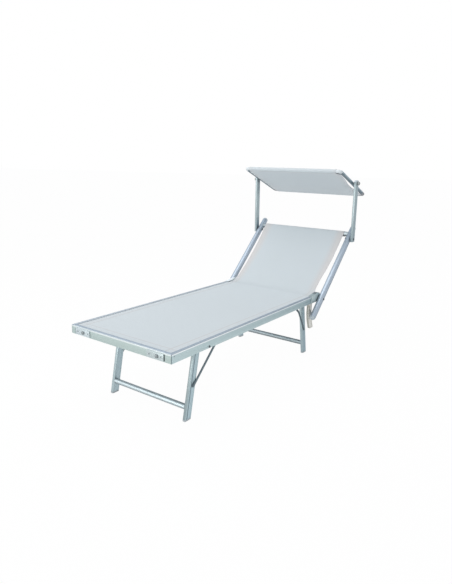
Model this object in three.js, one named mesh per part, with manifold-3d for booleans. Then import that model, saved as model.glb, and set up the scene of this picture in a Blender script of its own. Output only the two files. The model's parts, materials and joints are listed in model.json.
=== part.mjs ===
// Aluminium sun lounger with a reclining back and a small sun canopy.
// Millimetres, +Z up. The foot end is at low Y, the head end at high Y, and +X is the right side.

import Module from 'manifold-3d';
import * as THREE from 'three';
import { mergeVertices } from 'three/addons/utils/BufferGeometryUtils.js';

const wasm = await Module();
wasm.setup();

// Clearances
const seatGap = 0.3;
const boreGap = 0.3;
const runningGap = 0.6;
const hemGap = 0.8;
const cutOverrun = 5;

// Bed frame: two side rails and a front rail of one extruded profile
const frameWidth = 600;
const frameLength = 1290;
const seatHeight = 375;
const railWidth = 20;
const railHeight = 41;
const railWall = 1.8;
const lipWidth = 6;
const lipRadius = 3;
const shoulderDrop = 5.6;
const channelRadius = 3.6;
const channelDepth = 9;
const channelFloor = 2.4;
const capFlange = 2.7;
const capSpigotLength = 7;
const capCheek = 2.1;
const capLength = 104;
const capRise = 11;
const capCrestFromEnd = 26;
const capDip = 5;
const capEdge = 1.2;
const crossTubeRadius = 10;
const crossTubeWall = 1.4;
const crossTubeFromEnd = 38;
const crossTubeDrop = 28;

// Front plates
const plateLength = 91;
const plateHeight = 32;
const plateThick = 2.5;
const plateRadius = 2;
const plateLeftFromEnd = 76.5;
const plateRightFromEnd = 85.5;
const bossLeftShift = 4.5;
const bossRightShift = 11.5;
const bossRadius = 9;
const bossBase = 2;
const bossHeight = 9;

// Sling cloth
const clothThick = 1.8;
const slingRearFromHead = 47;
const slingEndClear = 26;
const beadRadius = 3;
const slingBackStart = 4;
const slingBottomClear = 26;
const slingTopClear = 19;
const slingRestOut = 7;
const slingSag = 18;
const slingSagShare = 1.2;

// Legs
const legWidth = 16;
const legDepth = 39;
const legWall = 1.8;
const legRadius = 3;
const legGrooveWidth = 3;
const legGrooveDepth = 1;
const legGrooveInset = 7;
const legInset = 63;
const legPivotUp = 6;
const legTopRise = 14;
const frontPivotFromEnd = 243;
const rearPivotFromHead = 81;
const frontSplay = THREE.MathUtils.degToRad(10.7);
const rearSplay = THREE.MathUtils.degToRad(10.8);
const crossbarRadius = 12.8;
const crossbarWall = 1.4;
const crossbarHeight = 59;
const footFlange = 7;
const footSpigot = 24;

// Leg pivots, brackets and braces
const legBoltRadius = 3;
const legBoltHead = 5.5;
const legBoltDome = 2.5;
const bracketThick = 2.5;
const bracketHalf = 10;
const bracketBoss = 8;
const braceWidth = 12;
const braceThick = 3;
const braceFromLeg = 1.2;
const braceAnchorDrop = 190;
const braceAnchorOffset = 2;
const bracePinRadius = 3;
const catchWall = 4;
const catchRise = 1;
const frontCatchReach = 155;
const rearCatchReach = 132;
const rearKneeAlong = 150;
const rearKneeOut = 21;
const rivetRadius = 2.5;
const rivetHead = 4.5;
const rivetHeadThick = 1.6;

// Backrest
const recline = THREE.MathUtils.degToRad(43.8);
const backPivotFromHead = 16.6;
const backPivotDrop = 25;
const tubeRadius = 17.25;
const tubeWall = 1.8;
const tubeGap = 3;
const tubeBelow = 131;
const tubeAbove = 541;
const domeShare = 0.9;
const capSpigot = 30;
const topTubeRadius = 15;
const topTubeWall = 1.5;
const topTubeFromEnd = 48.5;
const backBoltRadius = 4;
const backBoltHead = 8;
const backBoltDome = 2.2;
const nutRadius = 7;
const nutThick = 6;

// Adjuster racks
const pinRadius = 4;
const pinReach = 105;
const pinEngage = 7;
const rackThick = 12;
const rackInset = 3;
const rackFront = 106.5;
const rackWidth = 41;
const rackBend = 66;
const rackFoot = 168;
const rackLean = 31.5;
const rackLeanPower = 1.7;
const rackCorner = 7;
const rackWeb = 5;
const rackWallWidth = 5;
const rackNotchStep = THREE.MathUtils.degToRad(14.4);
const rackNotchesBelow = 2;
const rackNotchCount = 5;
const rackNotchDepth = 3.4;
const rackRim = 5;
const rackRecess = 2;

// Canopy arms
const armWidth = 36;
const armThick = 15.5;
const armWall = 1.6;
const armRadius = 4;
const armGap = 2;
const armFromTubeEnd = 83;
const armBelow = 16;
const armLength = 335.5;
const armTilt = THREE.MathUtils.degToRad(2);
const armAboveHole = 8;
const armCapRise = 10;
const armCapSpigot = 4;
const armBoltRadius = 4;
const armBoltHead = 8;
const armBoltDome = 2.6;
const armWasher = 15;
const armNutThick = 2;

// Canopy
const canopyTilt = THREE.MathUtils.degToRad(20.4);
const canopyFront = 193.5;
const canopyRear = 207;
const canopyTubeRadius = 10;
const canopyTubeWall = 1.2;
const canopySideGap = 8.5;
const canopyClothThick = 1.5;
const pocketInset = 26;
const canopyClothInset = 12;
const canopyClothHollow = 7;
const cornerRun = 40;
const cornerRadius = 14;
const cornerSpigot = 22;
const knobRadius = 11;
const knobNeck = 6;
const knobLength = 15;
const studRadius = 3;
const studCollar = 6;

// Facets
const roundSides = 24;
const smallSides = 12;
const beadSides = 8;
const bendSteps = 6;
const domeSteps = 3;
const elbowSteps = 8;
const slingSteps = 14;
const canopySteps = 10;
const grooveSteps = 16;
const rackSteps = 8;

// Places that follow from the sizes
const railOuter = frameWidth / 2;
const railInner = railOuter - railWidth;
const railBottom = seatHeight - railHeight;
const slotWidth = clothThick + 2 * seatGap;
const slotCentre = lipWidth + slotWidth / 2;
const shoulderLevel = railHeight - shoulderDrop;
const chamberTop = railHeight - channelDepth - channelRadius - channelFloor;
const legPivotHeight = railBottom + legPivotUp;
const catchHeight = legPivotHeight + catchRise;
const slingRearEdge = frameLength - slingRearFromHead;
const frontPivotY = frontPivotFromEnd;
const rearPivotY = frameLength - rearPivotFromHead;
const backPivotY = frameLength - backPivotFromHead;
const backPivotZ = seatHeight - backPivotDrop;
const legOuter = railOuter - legInset;
const legInner = legOuter - legWidth;
const legCentre = legOuter - legWidth / 2;
const tubeX = railOuter + tubeGap + tubeRadius;
const slingBottomHalf = tubeX - tubeRadius - slingBottomClear;
const slingTopHalf = tubeX - tubeRadius - slingTopClear;
const topTubeAt = tubeAbove - topTubeFromEnd;
const armAt = tubeAbove - armFromTubeEnd;
const armInner = tubeX + tubeRadius + armGap;
const armOuter = armInner + armThick;
const canopySideX = armInner - canopySideGap - canopyTubeRadius;
const pocketHalf = canopySideX - pocketInset;
const canopyClothHalf = canopySideX - canopyClothInset;
const plateLeftCentre = plateLeftFromEnd - railOuter;
const plateRightCentre = railOuter - plateRightFromEnd;

// Materials
const aluminium = new THREE.MeshStandardMaterial({ color: 0xb4c8c6, metalness: 0.85, roughness: 0.42 });
const blueAluminium = new THREE.MeshStandardMaterial({ color: 0xc4d0dc, metalness: 0.85, roughness: 0.38 });
const darkSteel = new THREE.MeshStandardMaterial({ color: 0x4a5a60, metalness: 0.7, roughness: 0.5 });
const greyPlastic = new THREE.MeshStandardMaterial({ color: 0xa8b4ba, metalness: 0, roughness: 0.55 });
const creamPlastic = new THREE.MeshStandardMaterial({ color: 0xcdc8be, metalness: 0, roughness: 0.6 });
const slingCloth = new THREE.MeshStandardMaterial({ color: 0xcfd5de, metalness: 0, roughness: 0.9 });

// Solids: closed three.js geometries become manifolds to be joined and cut.

function solid(geometry) {
  const bare = geometry.clone();
  bare.deleteAttribute('normal');
  bare.deleteAttribute('uv');
  const merged = mergeVertices(bare);
  const mesh = new wasm.Mesh({
    numProp: 3,
    vertProperties: new Float32Array(merged.attributes.position.array),
    triVerts: new Uint32Array(merged.index.array),
  });
  return new wasm.Manifold(mesh);
}

function join(first, ...others) {
  return others.reduce((whole, next) => whole.add(next), first);
}

function cut(first, ...tools) {
  return tools.reduce((whole, tool) => whole.subtract(tool), first);
}

function geometryOf(shape) {
  const mesh = shape.getMesh();
  const geometry = new THREE.BufferGeometry();
  geometry.setAttribute('position', new THREE.BufferAttribute(new Float32Array(mesh.vertProperties), 3));
  geometry.setIndex(new THREE.BufferAttribute(new Uint32Array(mesh.triVerts), 1));
  geometry.computeVertexNormals();
  return geometry;
}

function piece(name, shape, material, group) {
  const mesh = new THREE.Mesh(geometryOf(shape), material);
  mesh.name = name;
  group.add(mesh);
  return mesh;
}

// The same piece on the left side: X turns over, and so does the order of each triangle's corners.
function mirroredPiece(name, shape, material, group) {
  const geometry = geometryOf(shape);
  geometry.scale(-1, 1, 1);
  const corners = geometry.index.array;
  for (let i = 0; i < corners.length; i += 3) {
    [corners[i], corners[i + 1]] = [corners[i + 1], corners[i]];
  }
  geometry.computeVertexNormals();
  const mesh = new THREE.Mesh(geometry, material);
  mesh.name = name;
  group.add(mesh);
  return mesh;
}

function pair(name, shape, material, group) {
  piece(`${name}_right`, shape, material, group);
  mirroredPiece(`${name}_left`, shape, material, group);
}

// Outlines

function arc(x, y, radius, from, to, steps) {
  const points = [];
  for (let i = 0; i <= steps; i += 1) {
    const angle = from + ((to - from) * i) / steps;
    points.push(new THREE.Vector2(x + radius * Math.cos(angle), y + radius * Math.sin(angle)));
  }
  return points;
}

function circle(radius, x, y, sides) {
  const points = arc(x, y, radius, 0, 2 * Math.PI, sides);
  points.pop();
  return points;
}

function roundedRect(x0, x1, y0, y1, radius) {
  const quarter = Math.PI / 2;
  return [
    ...arc(x1 - radius, y1 - radius, radius, 0, quarter, bendSteps / 2),
    ...arc(x0 + radius, y1 - radius, radius, quarter, 2 * quarter, bendSteps / 2),
    ...arc(x0 + radius, y0 + radius, radius, 2 * quarter, 3 * quarter, bendSteps / 2),
    ...arc(x1 - radius, y0 + radius, radius, 3 * quarter, 4 * quarter, bendSteps / 2),
  ];
}

function band(x, y, inner, outer, from, to, steps) {
  return [...arc(x, y, outer, from, to, steps), ...arc(x, y, inner, to, from, steps)];
}

// A strip of even thickness that follows a path of points.
function ribbon(path, thickness) {
  const left = [];
  const right = [];
  path.forEach((point, i) => {
    const before = path[Math.max(i - 1, 0)];
    const after = path[Math.min(i + 1, path.length - 1)];
    const across = after.clone().sub(before).normalize().multiplyScalar(thickness / 2);
    left.push(new THREE.Vector2(point.x - across.y, point.y + across.x));
    right.push(new THREE.Vector2(point.x + across.y, point.y - across.x));
  });
  return [...left, ...right.reverse()];
}

// Extrusions along the three axes. Outlines are (Y, Z), (X, Z) and (X, Y).

const axisX = new THREE.Vector3(1, 0, 0);
const axisY = new THREE.Vector3(0, 1, 0);
const axisZ = new THREE.Vector3(0, 0, 1);
const outlineToYZ = new THREE.Matrix4().makeBasis(axisY, axisZ, axisX);
const outlineToXZ = new THREE.Matrix4().makeBasis(axisX, axisZ, axisY.clone().negate());

function extrusion(points, depth, holes) {
  const shape = new THREE.Shape(THREE.ShapeUtils.isClockWise(points) ? points.slice().reverse() : points);
  holes.forEach((hole) => shape.holes.push(new THREE.Path(hole)));
  return new THREE.ExtrudeGeometry(shape, { depth, bevelEnabled: false });
}

function alongX(points, x0, x1, ...holes) {
  return solid(extrusion(points, x1 - x0, holes).applyMatrix4(outlineToYZ).translate(x0, 0, 0));
}

function alongY(points, y0, y1, ...holes) {
  return solid(extrusion(points, y1 - y0, holes).applyMatrix4(outlineToXZ).translate(0, y1, 0));
}

function alongZ(points, z0, z1, ...holes) {
  return solid(extrusion(points, z1 - z0, holes).translate(0, 0, z0));
}

function rodX(radius, x0, x1, y, z, sides = smallSides) {
  return alongX(circle(radius, y, z, sides), x0, x1);
}

// A turned piece about the line (y, z) along X, from a profile of (radius, x) points.
function turnedX(profile, y, z, sides) {
  const lathe = new THREE.LatheGeometry(profile, sides);
  lathe.rotateZ(-Math.PI / 2);
  return solid(lathe.translate(0, y, z));
}

function profilePoints(pairs) {
  return pairs.map(([radius, along]) => new THREE.Vector2(radius, along));
}

// Points of a dome whose flat side is at `start` and whose top is `height` further along.
function domePairs(radius, start, height, steps) {
  const pairs = [];
  for (let i = 0; i <= steps; i += 1) {
    const angle = ((Math.PI / 2) * i) / steps;
    pairs.push([i === steps ? 0 : radius * Math.cos(angle), start + height * Math.sin(angle)]);
  }
  return pairs;
}

// A bar with round ends between two points of the (Y, Z) plane.
function capsule(a, b, halfWidth, x0, x1) {
  const along = Math.atan2(b.y - a.y, b.x - a.x);
  const quarter = Math.PI / 2;
  const points = [
    ...arc(b.x, b.y, halfWidth, along - quarter, along + quarter, bendSteps),
    ...arc(a.x, a.y, halfWidth, along + quarter, along + 3 * quarter, bendSteps),
  ];
  return alongX(points, x0, x1);
}

// Bed frame

// The rail's section: u runs inward from the outer face and v upward from the bottom.
function railSection() {
  const neck = Math.asin(slotWidth / 2 / channelRadius);
  const up = Math.PI / 2;
  const channelV = railHeight - channelDepth;
  return [
    [0, 0],
    [railWidth, 0],
    [railWidth, shoulderLevel],
    [slotCentre + slotWidth / 2, shoulderLevel],
    ...arc(slotCentre, channelV, channelRadius, up - neck, neck - 3 * up, beadSides).map((p) => [p.x, p.y]),
    [lipWidth, railHeight],
    ...arc(lipRadius, railHeight - lipRadius, lipRadius, up, 2 * up, bendSteps / 2).map((p) => [p.x, p.y]),
  ];
}

function railChamber() {
  return [
    [railWall, railWall],
    [railWidth - railWall, railWall],
    [railWidth - railWall, chamberTop],
    [railWall, chamberTop],
  ];
}

// Section points placed on the right side rail, as (X, Z).
function onRightRail(pairs) {
  return pairs.map(([u, v]) => new THREE.Vector2(railOuter - u, railBottom + v));
}

function sideRail() {
  const length = frameLength - capFlange - seatGap;
  const bar = alongY(onRightRail(railSection()), 0, length, onRightRail(railChamber()));
  const mitre = alongZ(
    [
      new THREE.Vector2(railOuter + cutOverrun, -cutOverrun),
      new THREE.Vector2(railInner - cutOverrun, railWidth + cutOverrun),
      new THREE.Vector2(railInner - cutOverrun, -cutOverrun),
    ],
    railBottom - cutOverrun,
    seatHeight + cutOverrun,
  );
  const bores = [frontPivotY, rearPivotY].map((y) =>
    rodX(legBoltRadius + boreGap, railInner - cutOverrun, railOuter + cutOverrun, y, legPivotHeight),
  );
  const backBore = rodX(
    backBoltRadius + boreGap,
    railInner - cutOverrun,
    railOuter + cutOverrun,
    backPivotY,
    backPivotZ,
  );
  return cut(bar, mitre, ...bores, backBore);
}

function frontRail() {
  const place = (pairs) => pairs.map(([u, v]) => new THREE.Vector2(u, railBottom + v));
  const bar = alongX(place(railSection()), -railOuter, railOuter, place(railChamber()));
  const mitreGap = seatGap * Math.SQRT2;
  const corner = [
    new THREE.Vector2(railOuter + cutOverrun, -cutOverrun),
    new THREE.Vector2(railOuter + cutOverrun, railWidth + cutOverrun),
    new THREE.Vector2(railInner - cutOverrun - mitreGap, railWidth + cutOverrun),
    new THREE.Vector2(railOuter + cutOverrun - mitreGap, -cutOverrun),
  ];
  const low = railBottom - cutOverrun;
  const high = seatHeight + cutOverrun;
  const right = alongZ(corner, low, high);
  const left = alongZ(corner.map((p) => new THREE.Vector2(-p.x, p.y)).reverse(), low, high);
  return cut(bar, right, left);
}

// Rear end cap of a side rail: a wall and spigot in the rail's end, with a cheek along the rail's outer face
// and a low crest over its top, which the backrest's bolt passes through.
function railEndCap() {
  const clear = seatGap + railWall;
  const face = frameLength - capFlange;
  const spigot = alongY(
    onRightRail([
      [clear, clear],
      [railWidth - clear, clear],
      [railWidth - clear, chamberTop - seatGap],
      [clear, chamberTop - seatGap],
    ]),
    face - capSpigotLength,
    frameLength - capFlange / 2,
  );
  const start = frameLength - capLength;
  const crest = frameLength - capCrestFromEnd;
  const seat = seatHeight + seatGap;
  const outline = [new THREE.Vector2(start, railBottom), new THREE.Vector2(frameLength, railBottom)];
  outline.push(new THREE.Vector2(frameLength, seatHeight + capRise - 2 * capDip));
  outline.push(new THREE.Vector2(face, seatHeight + capRise - capDip));
  outline.push(new THREE.Vector2(crest, seat + capRise), new THREE.Vector2(start, seat + capEdge));
  const cheekIn = railOuter + seatGap;
  const cheekOut = cheekIn + capCheek;
  const block = alongX(outline, railInner, cheekOut);
  const pocket = alongX(
    [
      new THREE.Vector2(start - cutOverrun, railBottom - cutOverrun),
      new THREE.Vector2(face, railBottom - cutOverrun),
      new THREE.Vector2(face, seat),
      new THREE.Vector2(start - cutOverrun, seat),
    ],
    railInner - cutOverrun,
    cheekIn,
  );
  const boreRadius = backBoltRadius + boreGap;
  const bore = rodX(boreRadius, railInner - cutOverrun, cheekOut + cutOverrun, backPivotY, backPivotZ);
  const headRadius = legBoltHead + boreGap;
  const window = rodX(headRadius, railOuter, cheekOut + cutOverrun, rearPivotY, legPivotHeight);
  const mouth = alongX(
    [
      new THREE.Vector2(rearPivotY - headRadius, railBottom - cutOverrun),
      new THREE.Vector2(rearPivotY + headRadius, railBottom - cutOverrun),
      new THREE.Vector2(rearPivotY + headRadius, legPivotHeight),
      new THREE.Vector2(rearPivotY - headRadius, legPivotHeight),
    ],
    railOuter,
    cheekOut + cutOverrun,
  );
  return cut(join(cut(block, pocket), spigot), bore, window, mouth);
}

function rearCrossTube() {
  const y = frameLength - crossTubeFromEnd;
  const z = seatHeight - crossTubeDrop;
  const reach = railInner - seatGap;
  return alongX(
    circle(crossTubeRadius, y, z, smallSides),
    -reach,
    reach,
    circle(crossTubeRadius - crossTubeWall, y, z, smallSides),
  );
}

// A plate on the front rail's face, with a round boss in its middle.
function frontPlate(centreX, bossX) {
  const centreZ = railBottom + shoulderLevel / 2;
  const outline = roundedRect(
    centreX - plateLength / 2,
    centreX + plateLength / 2,
    centreZ - plateHeight / 2,
    centreZ + plateHeight / 2,
    plateRadius,
  );
  const plate = alongY(outline, -seatGap - plateThick, -seatGap);
  const face = -seatGap - plateThick;
  const dome = domePairs(bossRadius, bossBase, bossHeight - bossBase, domeSteps);
  const profile = profilePoints([[0, -plateThick / 2], [bossRadius, -plateThick / 2], ...dome]);
  const boss = new THREE.LatheGeometry(profile, smallSides).rotateX(Math.PI);
  boss.translate(bossX, face, centreZ);
  return join(plate, solid(boss));
}

// Sling: a flat sheet whose side and front edges turn down into the rails' channels and end in beads.
function slingSeat() {
  const underside = railBottom + shoulderLevel + seatGap;
  const edge = railOuter - slotCentre;
  const frontEdge = slotCentre;
  const beadLevel = seatHeight - channelDepth;
  const top = underside + clothThick;
  const half = clothThick / 2;
  const sheet = alongZ(
    [
      new THREE.Vector2(-edge - half, frontEdge - half),
      new THREE.Vector2(edge + half, frontEdge - half),
      new THREE.Vector2(edge + half, slingRearEdge),
      new THREE.Vector2(-edge - half, slingRearEdge),
    ],
    underside,
    top,
  );
  const sideEdge = (x) => {
    const neck = roundedRect(x - half, x + half, beadLevel, top - half, half / 2);
    const bead = circle(beadRadius, x, beadLevel, beadSides);
    const start = frontEdge + slingEndClear;
    return join(alongY(neck, start, slingRearEdge), alongY(bead, start, slingRearEdge));
  };
  const neck = roundedRect(frontEdge - half, frontEdge + half, beadLevel, top - half, half / 2);
  const reach = edge - slingEndClear;
  const front = join(
    alongX(neck, -reach, reach),
    alongX(circle(beadRadius, frontEdge, beadLevel, beadSides), -reach, reach),
  );
  return join(sheet, sideEdge(edge), sideEdge(-edge), front);
}

// Leg pivot bolt: a domed head on the rail's outer face, a shank through rail, bracket and leg, a round nut.
function legPivotBolt(pivotY) {
  const headFace = railOuter + seatGap;
  const nutFace = legInner - seatGap;
  const profile = profilePoints([
    [0, nutFace - legBoltDome],
    [legBoltHead, nutFace - legBoltDome],
    [legBoltHead, nutFace],
    [legBoltRadius, nutFace],
    [legBoltRadius, headFace],
    ...domePairs(legBoltHead, headFace, legBoltDome, domeSteps),
  ]);
  return turnedX(profile, pivotY, legPivotHeight, smallSides);
}

// Leg bracket on the rail's inner face: a plate with the leg's spacer boss at one end and, at the other,
// a half-round seat that holds the brace's pin and is open along the brace.
function legBracket(pivotY, catchY, braceAngle) {
  const back = railInner - seatGap;
  const face = back - bracketThick;
  const pivot = new THREE.Vector2(pivotY, legPivotHeight);
  const seat = new THREE.Vector2(catchY, catchHeight);
  const plate = capsule(pivot, seat, bracketHalf, face, back);
  const boss = rodX(bracketBoss, legOuter + runningGap, back, pivotY, legPivotHeight);
  const boreRadius = legBoltRadius + boreGap;
  const bore = rodX(boreRadius, legOuter - cutOverrun, back + cutOverrun, pivotY, legPivotHeight);
  const inner = bracePinRadius + boreGap;
  const from = braceAngle + Math.PI / 2;
  const hook = alongX(
    band(seat.x, seat.y, inner, inner + catchWall, from, from + Math.PI, bendSteps),
    legOuter + braceFromLeg + braceThick + runningGap,
    face + bracketThick / 2,
  );
  return cut(join(plate, boss, hook), bore);
}

// Adjuster rack: a bar under the rail that leans towards the head at its foot, with an arc groove and
// notches for the backrest's pin. Its outline is in (Y, Z) from the backrest's pivot.

function rackEdge(side, inset, from, to) {
  const points = [];
  for (let i = 0; i <= rackSteps; i += 1) {
    const down = from + ((to - from) * i) / rackSteps;
    const share = Math.max(0, (down - rackBend) / (rackFoot - rackBend));
    const middle = rackWidth / 2 - rackFront + rackLean * share ** rackLeanPower;
    points.push(new THREE.Vector2(middle + side * (rackWidth / 2 - inset), -down));
  }
  return points;
}

// The rounded foot runs between the two edges' last points.
function rackOutline(top, foot, inset) {
  const front = rackEdge(-1, inset, top, foot - rackCorner);
  const back = rackEdge(1, inset, top, foot - rackCorner);
  const frontEnd = front[front.length - 1];
  const backEnd = back[back.length - 1];
  const slope = (rackLean * rackLeanPower) / (rackFoot - rackBend);
  const shift = (rackCorner * slope) / 2;
  const frontX = frontEnd.x + rackCorner + shift;
  const backX = backEnd.x - rackCorner + shift;
  const below = Math.PI;
  const round = [
    ...arc(frontX, frontEnd.y, rackCorner, below + (below * slope) / 4, below + below / 2, bendSteps / 2),
    ...arc(backX, backEnd.y, rackCorner, below + below / 2, 2 * below, bendSteps / 2),
  ];
  return [...front, ...round, ...back.reverse()];
}

function adjusterRack() {
  const outerFace = railOuter - rackInset;
  const innerFace = outerFace - rackThick;
  const below = Math.PI;
  const top = backPivotZ - railBottom + seatGap;
  const grooveHalf = pinRadius + runningGap;
  const flat = recline - rackNotchStep * rackNotchesBelow;
  const upright = flat + rackNotchStep * (rackNotchCount - 1);
  const lobe = band(
    0,
    0,
    pinReach - grooveHalf - rackWallWidth,
    pinReach + grooveHalf + rackNotchDepth + rackWallWidth,
    below + flat + rackNotchStep,
    below + upright + (grooveHalf + rackWallWidth) / pinReach,
    grooveSteps,
  );
  const bar = alongX(rackOutline(top, rackFoot, 0), innerFace, outerFace);
  const body = join(bar, alongX(lobe, innerFace, outerFace));
  const floor = innerFace + rackWeb;
  const face = outerFace + cutOverrun;
  const groove = band(
    0,
    0,
    pinReach - grooveHalf,
    pinReach + grooveHalf,
    below + flat - grooveHalf / pinReach,
    below + upright + grooveHalf / pinReach,
    grooveSteps,
  );
  const notches = [];
  for (let i = 0; i < rackNotchCount; i += 1) {
    const angle = below + flat + rackNotchStep * i;
    const reach = pinReach + rackNotchDepth;
    notches.push(rodX(grooveHalf, floor, face, reach * Math.cos(angle), reach * Math.sin(angle)));
  }
  const recessTop = pinReach + grooveHalf + rackNotchDepth + rackWallWidth;
  const recess = rackOutline(recessTop, rackFoot - rackRim, rackRim);
  const grooved = cut(body, alongX(groove, floor, face), ...notches);
  const shaped = cut(grooved, alongX(recess, outerFace - rackRecess, face));
  return shaped.translate(0, backPivotY, backPivotZ);
}

function backrestPivotBolt() {
  const nutFace = railInner - seatGap;
  const headFace = tubeX + tubeRadius + seatGap;
  const profile = profilePoints([
    [0, nutFace - nutThick],
    [nutRadius, nutFace - nutThick],
    [nutRadius, nutFace],
    [backBoltRadius, nutFace],
    [backBoltRadius, headFace],
    ...domePairs(backBoltHead, headFace, backBoltDome, domeSteps),
  ]);
  return turnedX(profile, backPivotY, backPivotZ, smallSides);
}

// Legs, drawn about their pivot with the leg along -Z; the group's turn gives the splay.

function legSection() {
  const halfX = legWidth / 2;
  const halfY = legDepth / 2;
  const points = [];
  const corners = roundedRect(legCentre - halfX, legCentre + halfX, -halfY, halfY, legRadius);
  const grooveAt = halfY - legGrooveInset;
  const sideGroove = (x, inward, sign) => [
    new THREE.Vector2(x, sign * (grooveAt + legGrooveWidth / 2)),
    new THREE.Vector2(x + inward, sign * grooveAt),
    new THREE.Vector2(x, sign * (grooveAt - legGrooveWidth / 2)),
  ];
  const quarter = corners.length / 4;
  points.push(...corners.slice(0, 2 * quarter));
  points.push(...sideGroove(legCentre - halfX, legGrooveDepth, 1));
  points.push(...sideGroove(legCentre - halfX, legGrooveDepth, -1).reverse());
  points.push(...corners.slice(2 * quarter));
  points.push(...sideGroove(legCentre + halfX, -legGrooveDepth, -1));
  points.push(...sideGroove(legCentre + halfX, -legGrooveDepth, 1).reverse());
  return points;
}

// Everything below a height over the floor, in the leg's own turned frame.
function belowHeight(height, turn) {
  const reach = legPivotHeight + legDepth;
  const block = new THREE.BoxGeometry(frameWidth, 2 * reach, 2 * reach);
  block.translate(0, 0, height - legPivotHeight - reach);
  return solid(block.rotateX(-turn));
}

function legTube(turn, anchor) {
  const low = -legPivotHeight / Math.cos(turn) - legDepth;
  const hollow = roundedRect(
    legInner + legWall,
    legOuter - legWall,
    legWall - legDepth / 2,
    legDepth / 2 - legWall,
    legRadius / 2,
  );
  const tube = alongZ(legSection(), low, legTopRise, hollow);
  const bore = rodX(legBoltRadius + boreGap, legInner - cutOverrun, legOuter + cutOverrun, 0, 0);
  const rivetBore = rodX(rivetRadius + boreGap, legCentre, legOuter + cutOverrun, anchor.x, anchor.y);
  return cut(tube, belowHeight(footFlange + seatGap, turn), bore, rivetBore);
}

function footCap(turn) {
  const low = -legPivotHeight / Math.cos(turn) - legDepth;
  const flange = cut(
    alongZ(legSection(), low, footFlange + footSpigot - legPivotHeight),
    belowHeight(0, turn),
  ).intersect(belowHeight(footFlange, turn));
  const inset = legWall + seatGap;
  const inner = roundedRect(
    legInner + inset,
    legOuter - inset,
    inset - legDepth / 2,
    legDepth / 2 - inset,
    legRadius / 2,
  );
  const spigot = cut(
    alongZ(inner, low, footFlange + footSpigot - legPivotHeight),
    belowHeight(footFlange / 2, turn),
  );
  return join(flange, spigot);
}

// `side` is -1 where the leg's outer side faces the foot end and 1 where it faces the head end.
function crossbar(turn, side) {
  const y = side * (legDepth / 2 - crossbarRadius);
  const z = (crossbarHeight - legPivotHeight - y * Math.sin(turn)) / Math.cos(turn);
  const reach = legInner - seatGap;
  return alongX(
    circle(crossbarRadius, y, z, roundSides),
    -reach,
    reach,
    circle(crossbarRadius - crossbarWall, y, z, roundSides),
  );
}

function legPair(name, pivotY, turn, side, model) {
  const group = new THREE.Group();
  group.position.set(0, pivotY, legPivotHeight);
  group.rotation.x = turn;
  const anchor = new THREE.Vector2(-side * braceAnchorOffset, -braceAnchorDrop);
  pair(`leg_${name}`, legTube(turn, anchor), aluminium, group);
  piece(`crossbar_${name}`, crossbar(turn, side), aluminium, group);
  pair(`foot_cap_${name}`, footCap(turn), greyPlastic, group);
  model.add(group);
  return anchor.rotateAround(new THREE.Vector2(0, 0), turn).add(new THREE.Vector2(pivotY, legPivotHeight));
}

// Brace: a flat bar riveted to the leg, with a pin at its upper end. It is drawn from its rivet, with the
// line from rivet to pin along +Y. A bar with no knee out of that line is straight.
function brace(length, kneeAlong, kneeOut) {
  const inner = legOuter + braceFromLeg;
  const outer = inner + braceThick;
  const start = new THREE.Vector2(0, 0);
  const knee = new THREE.Vector2(kneeAlong, kneeOut);
  const end = new THREE.Vector2(length, 0);
  const half = braceWidth / 2;
  const straight = capsule(start, end, half, inner, outer);
  const bent = join(capsule(start, knee, half, inner, outer), capsule(knee, end, half, inner, outer));
  const bar = kneeOut === 0 ? straight : bent;
  const legSkin = legOuter - legWall;
  const rivet = turnedX(
    profilePoints([
      [0, legSkin - seatGap - rivetHeadThick],
      [rivetHead, legSkin - seatGap - rivetHeadThick],
      [rivetHead, legSkin - seatGap],
      [rivetRadius, legSkin - seatGap],
      [rivetRadius, legOuter + seatGap],
      [rivetHead, legOuter + seatGap],
      [rivetHead, outer],
      ...domePairs(rivetHead, outer, rivetHeadThick, domeSteps),
    ]),
    0,
    0,
    smallSides,
  );
  const pinEnd = railInner - bracketThick - runningGap - seatGap;
  const pin = rodX(bracePinRadius, inner + braceThick / 2, pinEnd, length, 0);
  return join(bar, rivet, pin);
}

function braces(name, anchor, seat, kneeAlong, kneeOut, model) {
  const line = seat.clone().sub(anchor);
  const group = new THREE.Group();
  group.position.set(0, anchor.x, anchor.y);
  group.rotation.x = line.angle();
  pair(`brace_${name}`, brace(line.length(), kneeAlong, kneeOut), darkSteel, group);
  model.add(group);
  return line.angle();
}

// Backrest, drawn from its pivot with the tubes along +Y; the group's turn gives the recline.

function ringY(radius, wall, y0, y1, x, sides) {
  return alongY(circle(radius, x, 0, sides), y0, y1, circle(radius - wall, x, 0, sides));
}

function backrestTube() {
  const tube = ringY(tubeRadius, tubeWall, -tubeBelow, tubeAbove, tubeX, roundSides);
  const inside = tubeX - tubeRadius - cutOverrun;
  const outside = tubeX + tubeRadius + cutOverrun;
  return cut(
    tube,
    rodX(backBoltRadius + boreGap, inside, outside, 0, 0),
    rodX(armBoltRadius + boreGap, inside, outside, armAt, 0),
    rodX(pinRadius + boreGap, inside, tubeX, -pinReach, 0),
  );
}

// A domed cap; `side` is 1 at the tube's upper end and -1 at its lower end.
function tubeCap(at, side, spigotLength) {
  const spigotRadius = tubeRadius - tubeWall - seatGap;
  const dome = domePairs(tubeRadius, seatGap, tubeRadius * domeShare, domeSteps);
  const spigot = [[0, -spigotLength], [spigotRadius, -spigotLength], [spigotRadius, seatGap]];
  const profile = profilePoints([...spigot, ...dome]);
  const cap = new THREE.LatheGeometry(profile, roundSides);
  if (side < 0) {
    cap.rotateX(Math.PI);
  }
  return solid(cap.translate(tubeX, at, 0));
}

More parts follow.
